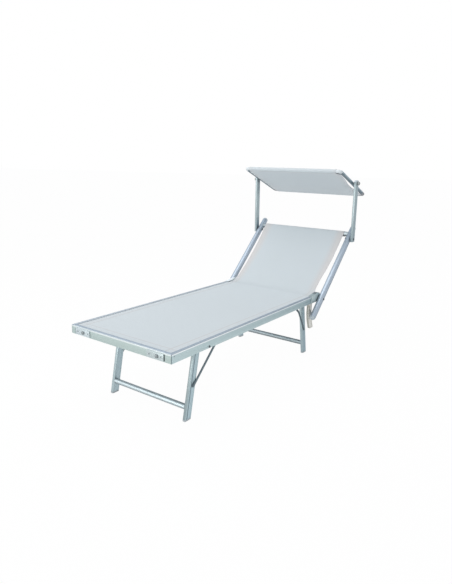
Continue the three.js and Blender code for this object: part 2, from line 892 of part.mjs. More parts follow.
function latchCap() {
  const cap = tubeCap(-tubeBelow, -1, tubeBelow - pinReach + 2 * pinRadius);
  const outerFace = railOuter - rackInset;
  return join(cap, rodX(pinRadius, outerFace - pinEngage + seatGap, tubeX - tubeRadius / 2, -pinReach, 0));
}

function backrestTopTube() {
  const reach = tubeX;
  const bar = alongX(
    circle(topTubeRadius, topTubeAt, 0, roundSides),
    -reach,
    reach,
    circle(topTubeRadius - topTubeWall, topTubeAt, 0, roundSides),
  );
  const cope = (x) => alongY(circle(tubeRadius + seatGap, x, 0, roundSides), 0, tubeAbove);
  return cut(bar, cope(tubeX), cope(-tubeX));
}

// The back part of the sling: it starts above the rear edge of the seat, sags between its ends and loops
// over the top tube. The path is in the backrest's own (Y, Z).
function slingBack() {
  const wrap = topTubeRadius + hemGap + clothThick / 2;
  const seatPoint = new THREE.Vector2(
    slingRearEdge + slingRestOut - backPivotY,
    railBottom + shoulderLevel + clothThick - backPivotZ,
  ).rotateAround(new THREE.Vector2(0, 0), -recline);
  const tangent = Math.PI / 2 + Math.atan2(seatPoint.y - wrap, topTubeAt - seatPoint.x);
  const loop = arc(topTubeAt, 0, wrap, tangent, tangent - 1.5 * Math.PI, roundSides / 2);
  const topPoint = loop[0];
  const path = [];
  for (let i = 0; i < slingSteps; i += 1) {
    const first = slingBackStart + seatPoint.x;
    const along = first + ((topPoint.x - first) * i) / slingSteps;
    const share = (along - seatPoint.x) / (topPoint.x - seatPoint.x);
    const line = seatPoint.y + (topPoint.y - seatPoint.y) * share;
    path.push(new THREE.Vector2(along, line - slingSag * Math.sin(Math.PI * share ** slingSagShare)));
  }
  path.push(...loop);
  const start = path[0].x;
  const halfWidth = (y) => {
    const share = THREE.MathUtils.clamp((y - start) / (topTubeAt - start), 0, 1);
    return slingBottomHalf + (slingTopHalf - slingBottomHalf) * share;
  };
  return widened(ribbon(path, clothThick), halfWidth);
}

// A profile extruded along X to half-widths that follow Y.
function widened(points, halfWidth) {
  const geometry = extrusion(points, 1, []).applyMatrix4(outlineToYZ);
  const places = geometry.attributes.position;
  for (let i = 0; i < places.count; i += 1) {
    places.setX(i, (2 * places.getX(i) - 1) * halfWidth(places.getY(i)));
  }
  return solid(geometry);
}

function armPivotBolt() {
  const inner = tubeX - tubeRadius;
  const profile = profilePoints([
    [0, inner - seatGap - armNutThick],
    [nutRadius, inner - seatGap - armNutThick],
    [nutRadius, inner - seatGap],
    [armBoltRadius, inner - seatGap],
    [armBoltRadius, tubeX + tubeRadius + seatGap],
    [armWasher, tubeX + tubeRadius + seatGap],
    [armWasher, armInner - seatGap],
    [armBoltRadius, armInner - seatGap],
    [armBoltRadius, armOuter + seatGap],
    ...domePairs(armBoltHead, armOuter + seatGap, armBoltDome, domeSteps),
  ]);
  return turnedX(profile, armAt, 0, smallSides);
}

function buildBackrest(model) {
  const group = new THREE.Group();
  group.position.set(0, backPivotY, backPivotZ);
  group.rotation.x = recline;
  pair('backrest_tube', backrestTube(), blueAluminium, group);
  pair('tube_top_cap', tubeCap(tubeAbove, 1, capSpigot), greyPlastic, group);
  pair('latch_cap', latchCap(), greyPlastic, group);
  piece('backrest_top_tube', backrestTopTube(), blueAluminium, group);
  pair('arm_pivot_bolt', armPivotBolt(), darkSteel, group);
  piece('sling_back', slingBack(), slingCloth, group);
  model.add(group);
  return group;
}

// Canopy arms, drawn from their pivot on the backrest with the arm along +Z.

function armTube() {
  const outline = roundedRect(armInner, armOuter, -armWidth / 2, armWidth / 2, armRadius);
  const hollow = roundedRect(
    armInner + armWall,
    armOuter - armWall,
    armWall - armWidth / 2,
    armWidth / 2 - armWall,
    armRadius - armWall,
  );
  const tube = alongZ(outline, -armBelow, armLength + armAboveHole, hollow);
  const inside = armInner - cutOverrun;
  const outside = armOuter + cutOverrun;
  return cut(
    tube,
    rodX(armBoltRadius + boreGap, inside, outside, 0, 0),
    rodX(studRadius + boreGap, inside, outside, 0, armLength),
  );
}

// A rounded cap: the arm's outline under a low crown across the arm's width.
function armTopCap() {
  const base = armLength + armAboveHole + seatGap;
  const outline = roundedRect(armInner, armOuter, -armWidth / 2, armWidth / 2, armRadius);
  const crown = [];
  for (let i = 0; i <= 2 * bendSteps; i += 1) {
    const angle = (Math.PI * i) / (2 * bendSteps);
    crown.push(new THREE.Vector2((armWidth / 2) * Math.cos(angle), base + armCapRise * Math.sin(angle)));
  }
  const cap = alongZ(outline, base, base + armCapRise).intersect(
    alongX(crown, armInner - cutOverrun, armOuter + cutOverrun),
  );
  const inset = armWall + seatGap;
  const spigot = alongZ(
    roundedRect(
      armInner + inset,
      armOuter - inset,
      inset - armWidth / 2,
      armWidth / 2 - inset,
      armRadius - armWall,
    ),
    base - armCapSpigot,
    base + armCapRise / 4,
  );
  return join(cap, spigot);
}

// Canopy, drawn from its pivot with +Y towards its rear edge.

function canopySideBar() {
  const y0 = cornerRun - canopyFront;
  const y1 = canopyRear - cornerRun;
  const bar = ringY(canopyTubeRadius, canopyTubeWall, y0, y1, canopySideX, roundSides);
  const bore = rodX(
    studRadius + boreGap,
    canopySideX - canopyTubeRadius - cutOverrun,
    canopySideX + canopyTubeRadius + cutOverrun,
    0,
    0,
  );
  return cut(bar, bore);
}

function canopyCrossTube(y) {
  const reach = pocketHalf;
  return alongX(
    circle(canopyTubeRadius, y, 0, roundSides),
    -reach,
    reach,
    circle(canopyTubeRadius - canopyTubeWall, y, 0, roundSides),
  );
}

// An elbow between a cross tube and a side bar, with a spigot in each. `side` is -1 at the front.
function canopyCorner(y, side) {
  const start = pocketHalf + seatGap;
  const end = y - side * (cornerRun - seatGap);
  const corner = new THREE.Vector2(canopySideX, y);
  const path = new THREE.CurvePath();
  const bendStart = new THREE.Vector3(corner.x - cornerRadius, y, 0);
  const bendEnd = new THREE.Vector3(corner.x, y - side * cornerRadius, 0);
  path.add(new THREE.LineCurve3(new THREE.Vector3(start, y, 0), bendStart));
  path.add(new THREE.QuadraticBezierCurve3(bendStart, new THREE.Vector3(corner.x, y, 0), bendEnd));
  path.add(new THREE.LineCurve3(bendEnd, new THREE.Vector3(corner.x, end, 0)));
  const section = new THREE.Shape(circle(canopyTubeRadius, 0, 0, smallSides));
  const settings = { steps: elbowSteps, bevelEnabled: false, extrudePath: path };
  const elbow = new THREE.ExtrudeGeometry(section, settings);
  const spigotRadius = canopyTubeRadius - canopyTubeWall - seatGap;
  const alongSide = end - side * cornerSpigot;
  const spigots = [
    rodX(spigotRadius, start - cornerSpigot, start + cornerRadius / 2, y, 0),
    alongY(
      circle(spigotRadius, corner.x, 0, smallSides),
      Math.min(alongSide, end + (side * cornerRadius) / 2),
      Math.max(alongSide, end + (side * cornerRadius) / 2),
    ),
  ];
  return join(solid(elbow), ...spigots);
}

// The canopy's cloth: a pocket round the front tube, a sheet under the side bars' level, a pocket at the rear.
function canopyCloth() {
  const wrap = canopyTubeRadius + hemGap + canopyClothThick / 2;
  const quarter = Math.PI / 2;
  const front = arc(-canopyFront, 0, wrap, quarter / 2, 3 * quarter, roundSides / 2);
  const rear = arc(canopyRear, 0, wrap, -quarter, quarter + quarter / 2, roundSides / 2);
  const path = [...front];
  for (let i = 1; i < canopySteps; i += 1) {
    path.push(new THREE.Vector2(-canopyFront + ((canopyFront + canopyRear) * i) / canopySteps, -wrap));
  }
  path.push(...rear);
  const reach = wrap + canopyClothThick;
  const halfWidth = (y) => {
    if (y < reach - canopyFront || y > canopyRear - reach) {
      return pocketHalf;
    }
    const share = (y + canopyFront) / (canopyFront + canopyRear);
    return canopyClothHalf - canopyClothHollow * Math.sin(Math.PI * share) ** 2;
  };
  return widened(ribbon(path, canopyClothThick), halfWidth);
}

// Clamp knob on the arm's outer face, whose stud runs through the arm into the side bar.
function canopyKnob() {
  const start = canopySideX;
  const collarIn = canopySideX + canopyTubeRadius + seatGap;
  const collarOut = armInner - seatGap;
  const face = armOuter + seatGap;
  const neckEnd = face + knobLength / 4;
  const dome = domePairs(knobRadius, face + knobLength / 2, knobLength / 2, domeSteps);
  const profile = profilePoints([
    [0, start],
    [studRadius, start],
    [studRadius, collarIn],
    [studCollar, collarIn],
    [studCollar, collarOut],
    [studRadius, collarOut],
    [studRadius, face],
    [knobNeck, face],
    [knobRadius, neckEnd],
    ...dome,
  ]);
  return turnedX(profile, 0, 0, roundSides);
}

function buildCanopy(backrest) {
  const arms = new THREE.Group();
  arms.position.set(0, armAt, 0);
  arms.rotation.x = armTilt - recline;
  pair('canopy_arm', armTube(), aluminium, arms);
  pair('arm_top_cap', armTopCap(), greyPlastic, arms);
  const canopy = new THREE.Group();
  canopy.position.set(0, 0, armLength);
  canopy.rotation.x = -canopyTilt - armTilt;
  pair('canopy_side_bar', canopySideBar(), aluminium, canopy);
  piece('canopy_front_tube', canopyCrossTube(-canopyFront), aluminium, canopy);
  piece('canopy_rear_tube', canopyCrossTube(canopyRear), aluminium, canopy);
  pair('canopy_corner_front', canopyCorner(-canopyFront, -1), greyPlastic, canopy);
  pair('canopy_corner_rear', canopyCorner(canopyRear, 1), greyPlastic, canopy);
  piece('canopy_cloth', canopyCloth(), slingCloth, canopy);
  pair('canopy_knob', canopyKnob(), greyPlastic, canopy);
  arms.add(canopy);
  backrest.add(arms);
}

// Assembly

function buildFrame(model) {
  pair('side_rail', sideRail(), aluminium, model);
  piece('front_rail', frontRail(), aluminium, model);
  pair('rail_end_cap', railEndCap(), greyPlastic, model);
  piece('rear_cross_tube', rearCrossTube(), aluminium, model);
  piece('front_plate_left', frontPlate(plateLeftCentre, plateLeftCentre + bossLeftShift), aluminium, model);
  const rightPlate = frontPlate(plateRightCentre, plateRightCentre + bossRightShift);
  piece('front_plate_right', rightPlate, aluminium, model);
  piece('sling_seat', slingSeat(), slingCloth, model);
  pair('leg_pivot_bolt_front', legPivotBolt(frontPivotY), darkSteel, model);
  pair('leg_pivot_bolt_rear', legPivotBolt(rearPivotY), darkSteel, model);
  pair('adjuster_rack', adjusterRack(), creamPlastic, model);
  pair('backrest_pivot_bolt', backrestPivotBolt(), darkSteel, model);
}

function buildLegs(model) {
  const frontAnchor = legPair('front', frontPivotY, -frontSplay, -1, model);
  const frontSeat = new THREE.Vector2(frontPivotY + frontCatchReach, catchHeight);
  const frontAngle = braces('front', frontAnchor, frontSeat, 0, 0, model);
  pair('leg_bracket_front', legBracket(frontPivotY, frontSeat.x, frontAngle), darkSteel, model);
  const rearAnchor = legPair('rear', rearPivotY, rearSplay, 1, model);
  const rearSeat = new THREE.Vector2(rearPivotY - rearCatchReach, catchHeight);
  const rearAngle = braces('rear', rearAnchor, rearSeat, rearKneeAlong, -rearKneeOut, model);
  pair('leg_bracket_rear', legBracket(rearPivotY, rearSeat.x, rearAngle), darkSteel, model);
}

const lounger = new THREE.Group();
buildFrame(lounger);
buildLegs(lounger);
buildCanopy(buildBackrest(lounger));

// The origin is on the floor, under the middle of the whole outline.
const outline = new THREE.Box3().setFromObject(lounger, true);
lounger.position.set(0, -(outline.min.y + outline.max.y) / 2, -outline.min.z);

export default lounger;
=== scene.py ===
import json
import math
import bpy
import bmesh
from mathutils import Matrix, Vector


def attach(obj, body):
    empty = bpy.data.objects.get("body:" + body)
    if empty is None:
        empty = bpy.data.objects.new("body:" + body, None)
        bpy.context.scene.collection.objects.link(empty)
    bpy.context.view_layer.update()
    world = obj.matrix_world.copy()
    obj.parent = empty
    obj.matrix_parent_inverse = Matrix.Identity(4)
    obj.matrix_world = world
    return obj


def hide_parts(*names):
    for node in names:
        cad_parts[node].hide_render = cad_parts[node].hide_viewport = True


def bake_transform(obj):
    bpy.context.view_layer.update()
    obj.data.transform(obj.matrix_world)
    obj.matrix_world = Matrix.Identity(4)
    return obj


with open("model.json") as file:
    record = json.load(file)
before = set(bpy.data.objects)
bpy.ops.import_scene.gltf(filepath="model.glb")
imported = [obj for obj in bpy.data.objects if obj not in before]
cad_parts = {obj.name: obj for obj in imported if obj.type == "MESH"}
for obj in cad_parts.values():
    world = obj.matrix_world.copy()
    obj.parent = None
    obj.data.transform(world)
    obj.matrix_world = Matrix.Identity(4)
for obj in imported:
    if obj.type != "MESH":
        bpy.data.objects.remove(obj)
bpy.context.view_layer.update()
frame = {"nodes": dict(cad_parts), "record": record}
nodes = frame["nodes"]
bpy.ops.object.select_all(action="DESELECT")
print("frame loaded,", len(nodes), "nodes")


def addObject(name, data):
    obj = bpy.data.objects.new(name, data)
    bpy.context.scene.collection.objects.link(obj)
    return obj


# Camera: place in metres, angles in radians, focal length for a 36 mm sensor on the long side

photoCamera = {"place": (1.547627, -2.288051, 1.092512), "yaw": 0.62041, "pitch": 0.243816, "roll": 0.026477,
               "lens": 31.617, "sensor": 36.0, "near": 0.05, "far": 60.0}


def makeCamera(c):
    forward = Vector((-math.sin(c["yaw"]) * math.cos(c["pitch"]), math.cos(c["yaw"]) * math.cos(c["pitch"]),
                      -math.sin(c["pitch"])))
    level = Vector((math.cos(c["yaw"]), math.sin(c["yaw"]), 0.0))
    upright = level.cross(forward)
    right = level * math.cos(c["roll"]) + upright * math.sin(c["roll"])
    top = upright * math.cos(c["roll"]) - level * math.sin(c["roll"])
    data = bpy.data.cameras.new("photoCamera")
    data.lens = c["lens"]
    data.sensor_width = c["sensor"]
    data.sensor_fit = "AUTO"
    data.clip_start = c["near"]
    data.clip_end = c["far"]
    camera = addObject("photoCamera", data)
    axes = Matrix((right, top, -forward)).transposed()
    camera.matrix_world = Matrix.Translation(Vector(c["place"])) @ axes.to_4x4()
    bpy.context.scene.camera = camera


makeCamera(photoCamera)
print("camera placed")


# Shared shader effects, each a node group

def newGroup(name, inputs, outputs):
    # inputs and outputs: each socket's name and kind
    group = bpy.data.node_groups.new(name, "ShaderNodeTree")
    for way, sockets in (("INPUT", inputs), ("OUTPUT", outputs)):
        for label, kind in sockets.items():
            group.interface.new_socket(name=label, in_out=way, socket_type="NodeSocket" + kind)
    return group, group.nodes.new("NodeGroupInput"), group.nodes.new("NodeGroupOutput")


def setInputs(node, values):
    for key, value in values.items():
        node.inputs[key].default_value = value


def addNode(tree, kind, settings=None, values=None):
    node = tree.nodes.new(kind)
    for key, value in (settings or {}).items():
        setattr(node, key, value)
    setInputs(node, values or {})
    return node


def placeGroup(tree, group, values):
    return addNode(tree, "ShaderNodeGroup", {"node_tree": group}, values)


def maths(tree, operation, first, second=None, third=None, clamp=False):
    node = addNode(tree, "ShaderNodeMath", {"operation": operation, "use_clamp": clamp})
    for slot, value in enumerate((first, second, third)):
        if value is None:
            continue
        if isinstance(value, (int, float)):
            node.inputs[slot].default_value = value
        else:
            tree.links.new(value, node.inputs[slot])
    return node.outputs[0]


def times(tree, first, second, clamp=False):
    return maths(tree, "MULTIPLY", first, second, clamp=clamp)


def plus(tree, first, second, clamp=False):
    return maths(tree, "ADD", first, second, clamp=clamp)


def minus(tree, first, second, clamp=False):
    return maths(tree, "SUBTRACT", first, second, clamp=clamp)


def mixColours(tree, factor, first, second, blend="MIX"):
    # sockets 6 and 7 of the Mix node are its two colours, output 2 the mixed one
    node = addNode(tree, "ShaderNodeMix", {"data_type": "RGBA", "blend_type": blend})
    for slot, value in ((0, factor), (6, first), (7, second)):
        if isinstance(value, (int, float, tuple)):
            node.inputs[slot].default_value = value
        else:
            tree.links.new(value, node.inputs[slot])
    return node.outputs[2]


def axesOf(tree, vector):
    # the X, Y and Z of a place or a direction
    axes = addNode(tree, "ShaderNodeSeparateXYZ")
    tree.links.new(vector, axes.inputs[0])
    return axes.outputs


def noiseOver(tree, place, scale, detail, roughness):
    # cloudy values over the surface, about 0.5
    noise = addNode(tree, "ShaderNodeTexNoise", None, {"Detail": detail, "Roughness": roughness})
    tree.links.new(place, noise.inputs["Vector"])
    if isinstance(scale, float):
        noise.inputs["Scale"].default_value = scale
    else:
        tree.links.new(scale, noise.inputs["Scale"])
    return noise.outputs["Fac"]


def toneRamp(tree, value, stops):
    # a colour for each value from 0 to 1, by stops of a value and its tone or colour
    ramp = addNode(tree, "ShaderNodeValToRGB")
    marks = ramp.color_ramp.elements
    marks.remove(marks[1])
    for i, (at, tone) in enumerate(stops):
        mark = marks.new(at) if i else marks[0]
        mark.position = at
        mark.color = (*tone, 1) if isinstance(tone, tuple) else (tone, tone, tone, 1)
    tree.links.new(value, ramp.inputs["Fac"])
    return ramp.outputs["Color"]


# extruded and anodised metal: fine lines along the length, cloudy tone, a little dirt in patches
drawnLook = {"lineScale": 900.0, "cloudScale": 14.0, "speckScale": 160.0, "speckFrom": 0.69, "wearTone": 1.6,
             "speckTone": 0.3, "lineRough": 0.25, "wearRough": 0.5, "speckHeight": 0.2}


def makeDrawnMetal():
    d = drawnLook
    group, given, out = newGroup(
        "drawnMetal",
        {"Base": "Color", "Shade": "Color", "Place": "Vector", "Roughness": "Float", "Line Strength": "Float",
         "Wear": "Float"},
        {"Colour": "Color", "Roughness": "Float", "Height": "Float"})
    link = group.links.new
    place = addNode(group, "ShaderNodeTexCoord").outputs["Object"]
    lines = noiseOver(group, given.outputs["Place"], d["lineScale"], 2.0, 0.6)
    clouds = noiseOver(group, place, d["cloudScale"], 4.0, 0.55)
    specks = noiseOver(group, place, d["speckScale"], 3.0, 0.7)
    lineTone = times(group, minus(group, lines, 0.5), given.outputs["Line Strength"])
    wearMask = times(group, minus(group, clouds, 0.5, clamp=True), given.outputs["Wear"], clamp=True)
    speckMask = times(group, maths(group, "GREATER_THAN", specks, d["speckFrom"]), given.outputs["Wear"])
    wornTone = times(group, wearMask, d["wearTone"])
    speckTone = times(group, speckMask, d["speckTone"])
    tone = plus(group, plus(group, lineTone, wornTone), speckTone, clamp=True)
    link(mixColours(group, tone, given.outputs["Base"], given.outputs["Shade"]), out.inputs["Colour"])
    lineRough = times(group, lineTone, d["lineRough"])
    wearRough = times(group, wearMask, d["wearRough"])
    link(plus(group, given.outputs["Roughness"], plus(group, lineRough, wearRough)), out.inputs["Roughness"])
    link(plus(group, lines, times(group, specks, d["speckHeight"])), out.inputs["Height"])
    return group


# moulded plastic: fine grain, cloudy tone and darker dust where the surface is rough
mouldedLook = {"cloudScale": 22.0, "dustFrom": 0.47, "dustTone": 4.0, "grainRough": 0.2}


def makeMoulded():
    m = mouldedLook
    group, given, out = newGroup(
        "moulded",
        {"Base": "Color", "Shade": "Color", "Roughness": "Float", "Grain": "Float", "Dirt": "Float"},
        {"Colour": "Color", "Roughness": "Float", "Height": "Float"})
    link = group.links.new
    place = addNode(group, "ShaderNodeTexCoord").outputs["Object"]
    grain = noiseOver(group, place, given.outputs["Grain"], 3.0, 0.6)
    cloudy = minus(group, noiseOver(group, place, m["cloudScale"], 4.0, 0.6), m["dustFrom"], clamp=True)
    mask = times(group, cloudy, m["dustTone"], clamp=True)
    dirt = times(group, mask, given.outputs["Dirt"])
    link(mixColours(group, dirt, given.outputs["Base"], given.outputs["Shade"]), out.inputs["Colour"])
    grainRough = times(group, minus(group, grain, 0.5), m["grainRough"])
    link(plus(group, given.outputs["Roughness"], grainRough), out.inputs["Roughness"])
    link(grain, out.inputs["Height"])
    return group


# coated yarn mesh in UV metres: two sets of yarns that pass over and under, with small holes between
wovenLook = {"yarnHeight": 0.4, "overHeight": 0.3, "holeSize": 0.3, "holeEdge": 3.0, "fibreScale": 260.0,
             "fibreTone": 0.5, "holeTone": 0.7}


def makeWovenMesh():
    w = wovenLook
    group, given, out = newGroup(
        "wovenMesh",
        {"Yarn": "Color", "Gap": "Color", "Pitch": "Float"},
        {"Colour": "Color", "Height": "Float"})
    link = group.links.new
    uv = addNode(group, "ShaderNodeUVMap", {"uv_map": "cloth"}).outputs["UV"]
    axes = axesOf(group, uv)
    waves = []
    for name in ("X", "Y"):
        turns = maths(group, "DIVIDE", axes[name], given.outputs["Pitch"])
        waves.append(maths(group, "SINE", times(group, turns, 2 * math.pi)))
    rounds = [maths(group, "ABSOLUTE", wave) for wave in waves]
    yarns = times(group, plus(group, *rounds), w["yarnHeight"])
    overs = times(group, times(group, *waves), w["overHeight"])
    link(plus(group, yarns, overs), out.inputs["Height"])
    holes = minus(group, w["holeSize"], maths(group, "MAXIMUM", *rounds), clamp=True)
    holes = times(group, holes, w["holeEdge"], clamp=True)
    fibre = noiseOver(group, uv, w["fibreScale"], 3.0, 0.6)
    streak = times(group, minus(group, fibre, 0.5), w["fibreTone"])
    tone = plus(group, times(group, holes, w["holeTone"]), streak, clamp=True)
    link(mixColours(group, tone, given.outputs["Yarn"], given.outputs["Gap"]), out.inputs["Colour"])
    return group


def makeStitchRow():
    # a row of stitches along the UV length at one distance from the sheet's middle
    stitchShare = 0.72
    group, given, out = newGroup(
        "stitchRow",
        {"Across": "Float", "Along": "Float", "At": "Float", "Half Width": "Float", "Pitch": "Float"},
        {"Thread": "Float", "Line": "Float"})
    link = group.links.new
    off = maths(group, "ABSOLUTE", minus(group, given.outputs["Across"], given.outputs["At"]))
    line = minus(group, 1.0, maths(group, "DIVIDE", off, given.outputs["Half Width"]), clamp=True)
    turns = maths(group, "FRACT", maths(group, "DIVIDE", given.outputs["Along"], given.outputs["Pitch"]))
    fromMiddle = maths(group, "ABSOLUTE", minus(group, turns, 0.5))
    dash = maths(group, "LESS_THAN", fromMiddle, stitchShare / 2)
    link(times(group, line, dash), out.inputs["Thread"])
    link(line, out.inputs["Line"])
    return group


drawnMetal = makeDrawnMetal()
moulded = makeMoulded()
wovenMesh = makeWovenMesh()
stitchRow = makeStitchRow()
print("shader groups made")


# Materials

def newMaterial(name):
    material = bpy.data.materials.new(name)
    material.use_nodes = True
    tree = material.node_tree
    shader = tree.nodes["Principled BSDF"]
    return material, tree, shader


def bumpInto(tree, shader, height, strength, distance):
    bump = addNode(tree, "ShaderNodeBump", None, {"Strength": strength, "Distance": distance})
    tree.links.new(height, bump.inputs["Height"])
    tree.links.new(bump.outputs["Normal"], shader.inputs["Normal"])


def paintedBandTones(tree, colour, stops):
    # round bars: painted reflection bands, a tone for each height at which the surface looks up (1) or down
    # (0)
    up = axesOf(tree, addNode(tree, "ShaderNodeTexCoord").outputs["Normal"])["Z"]
    tones = toneRamp(tree, maths(tree, "MULTIPLY_ADD", up, 0.5, 0.5), stops)
    return mixColours(tree, 1.0, colour, tones, "MULTIPLY")


metalGrain = {"stretch": 0.02, "depth": 0.0003}   # how long the drawn lines run, and how deep they are


def metalFinish(name, base, shade, roughness, along, metallic=0.8, lineStrength=0.25, wear=0.25, bump=0.05,
                edgeTint=(0.45, 0.52, 0.62), stops=None):
    material, tree, shader = newMaterial(name)
    place = addNode(tree, "ShaderNodeTexCoord")
    squeeze = addNode(tree, "ShaderNodeMapping")
    squeeze.inputs["Scale"].default_value = [metalGrain["stretch"] if axis in along else 1.0 for axis in "XYZ"]
    tree.links.new(place.outputs["Object"], squeeze.inputs["Vector"])
    effect = placeGroup(tree, drawnMetal, {"Base": (*base, 1), "Shade": (*shade, 1), "Roughness": roughness,
                                           "Line Strength": lineStrength, "Wear": wear})
    tree.links.new(squeeze.outputs[0], effect.inputs["Place"])
    # stops paint light and dark reflection bands into the colour, by the way the surface faces
    colour = paintedBandTones(tree, effect.outputs["Colour"], stops) if stops else effect.outputs["Colour"]
    tree.links.new(colour, shader.inputs["Base Color"])
    tree.links.new(effect.outputs["Roughness"], shader.inputs["Roughness"])
    setInputs(shader, {"Metallic": metallic, "Specular Tint": (*edgeTint, 1)})
    bumpInto(tree, shader, effect.outputs["Height"], bump, metalGrain["depth"])
    return material


def plasticFinish(name, base, shade, roughness, grain=450.0, dirt=0.25, bump=0.08, coat=0.0, depth=0.0004):
    material, tree, shader = newMaterial(name)
    effect = placeGroup(tree, moulded, {"Base": (*base, 1), "Shade": (*shade, 1), "Roughness": roughness,
                                        "Grain": grain, "Dirt": dirt})
    tree.links.new(effect.outputs["Colour"], shader.inputs["Base Color"])
    tree.links.new(effect.outputs["Roughness"], shader.inputs["Roughness"])
    setInputs(shader, {"Coat Weight": coat})
    bumpInto(tree, shader, effect.outputs["Height"], bump, depth)
    return material


clothLook = {"yarn": (0.61, 0.665, 0.69), "gap": (0.49, 0.535, 0.56), "hem": (0.655, 0.63, 0.622),
             "seam": (0.50, 0.475, 0.465), "thread": (0.70, 0.69, 0.67), "pitch": 0.0016, "roughness": 0.78,
             "hemEdge": 0.006, "hemInside": 0.028, "hemOutside": 0.014, "hemHeight": 3.0, "seamDepth": 1.5,
             "seamHalf": 0.0042, "seamTone": 0.55, "threadShift": 0.0065, "threadHalf": 0.0011,
             "threadTone": 0.7, "stitchPitch": 0.005, "hiddenSeam": 1.2, "sheen": 0.15, "sheenRough": 0.5,
             "bump": 0.3, "depth": 0.0004}


def rangeMask(tree, value, low, high):
    return maths(tree, "DIVIDE", minus(tree, value, low), high - low, clamp=True)


def clothFinish(name, look, hemAt, hemFrom, hemTone, endSeams, paintedLight=(), paintedLightEnd=2.0):
    # the UV's X is metres across from the middle, its Y metres along from the sheet's first end
    # painted light and shade along the cloth: where along it the cloth is paler or darker, as metres and a
    # tone
    material, tree, shader = newMaterial(name)
    link = tree.links.new
    weave = placeGroup(tree, wovenMesh, {"Yarn": (*look["yarn"], 1), "Gap": (*look["gap"], 1),
                                         "Pitch": look["pitch"]})
    axes = axesOf(tree, addNode(tree, "ShaderNodeUVMap", {"uv_map": "cloth"}).outputs["UV"])
    run = axes["Y"]
    across = maths(tree, "ABSOLUTE", axes["X"])
    inHem = rangeMask(tree, across, hemAt, hemAt + look["hemEdge"])
    softHem = rangeMask(tree, across, hemAt - look["hemInside"], hemAt + look["hemOutside"])
    shown = rangeMask(tree, run, *hemFrom)
    tone = plus(tree, hemTone[0], times(tree, shown, hemTone[1] - hemTone[0]))
    hemMask = times(tree, softHem, tone)
    colour = mixColours(tree, hemMask, weave.outputs["Colour"], (*look["hem"], 1))
    # paint light and shade along the cloth's length
    if paintedLight:
        stops = [(at / paintedLightEnd, fade) for at, fade in paintedLight]
        paintedLightTone = toneRamp(tree, maths(tree, "DIVIDE", run, paintedLightEnd), stops)
        colour = mixColours(tree, 1.0, colour, paintedLightTone, "MULTIPLY")
    height = plus(tree, weave.outputs["Height"], times(tree, inHem, look["hemHeight"]))

    def seamLine(colour, height, over, along, at, share, line):
        # one line of a seam: the darker fold itself, or the stitches beside it
        shift, half, shade, strength = line
        row = placeGroup(tree, stitchRow, {"At": at + shift, "Half Width": half, "Pitch": look["stitchPitch"]})
        link(over, row.inputs["Across"])
        link(along, row.inputs["Along"])
        seen = times(tree, share, strength)
        mask = times(tree, row.outputs["Thread" if shift else "Line"], seen)
        lower = times(tree, row.outputs["Line"], look["seamDepth"])
        return mixColours(tree, mask, colour, (*shade, 1)), minus(tree, height, lower)

    lines = ((0.0, look["seamHalf"], look["seam"], look["seamTone"]),
             (look["threadShift"], look["threadHalf"], look["thread"], look["threadTone"]))
    hemShare = minus(tree, look["hiddenSeam"], shown)
    for line in lines:
        colour, height = seamLine(colour, height, across, run, hemAt, hemShare, line)
    for at in endSeams:
        for line in lines:
            colour, height = seamLine(colour, height, run, axes["X"], at, 1.0, line)
    link(colour, shader.inputs["Base Color"])
    setInputs(shader, {"Roughness": look["roughness"], "Sheen Weight": look["sheen"],
                       "Sheen Roughness": look["sheenRough"]})
    bumpInto(tree, shader, height, look["bump"], look["depth"])
    return material


# painted light and shade: reflection bands round a bar, from its underside (0) to its top (1)
roundPaintedBands = ((0.0, 0.5), (0.27, 0.58), (0.44, 0.72), (0.54, 0.85), (0.62, 1.1), (0.74, 1.25), (0.82, 1.15),
              (0.89, 0.75), (1.0, 0.66))
topPaintedBands = ((0.0, 0.25), (0.28, 0.35), (0.42, 0.9), (1.0, 1.0))
tubePaintedBands = ((0.0, 0.86), (0.5, 0.93), (0.65, 1.0), (0.79, 0.99), (0.85, 1.08), (1.0, 1.08))
barPaintedBands = ((0.0, 0.6), (0.35, 0.75), (0.5, 1.0), (1.0, 1.05))

railSideMetal = metalFinish("railSideMetal", (0.565, 0.67, 0.675), (0.43, 0.51, 0.52), 0.38, "Y")
# the front rail's metal is a darker copy of the side rail's, painted shade on its front face; the deeper copy
# paints a band of shade beside the left plate
railFrontDeepShadeMetal = metalFinish("railFrontDeepShadeMetal", (0.40, 0.48, 0.48), (0.3, 0.36, 0.36), 0.4, "X")
railFrontShadedMetal = metalFinish("railFrontShadedMetal", (0.49, 0.585, 0.565), (0.37, 0.45, 0.44), 0.38, "X")
# the rails' lips: a bright painted highlight on the rounded outer edges, a darker painted reflection on their
# flat tops, and painted light on the far rail's lip
lipHighlightSideMetal = metalFinish("lipHighlightSideMetal", (0.96, 0.99, 1.0), (0.85, 0.92, 0.95), 0.3, "Y", bump=0.02)
lipHighlightFrontMetal = metalFinish("lipHighlightFrontMetal", (0.74, 0.80, 0.80), (0.64, 0.70, 0.70), 0.3, "X", bump=0.02)
lipTopReflectionMetal = metalFinish("lipTopReflectionMetal", (0.42, 0.48, 0.53), (0.33, 0.39, 0.43), 0.45, "XY", metallic=0.5)
lipFarLitMetal = metalFinish("lipFarLitMetal", (0.56, 0.61, 0.65), (0.46, 0.50, 0.54), 0.5, "XY", metallic=0.5)
capMetal = metalFinish("capMetal", (0.54, 0.635, 0.635), (0.42, 0.49, 0.5), 0.45, "Y", metallic=0.4)
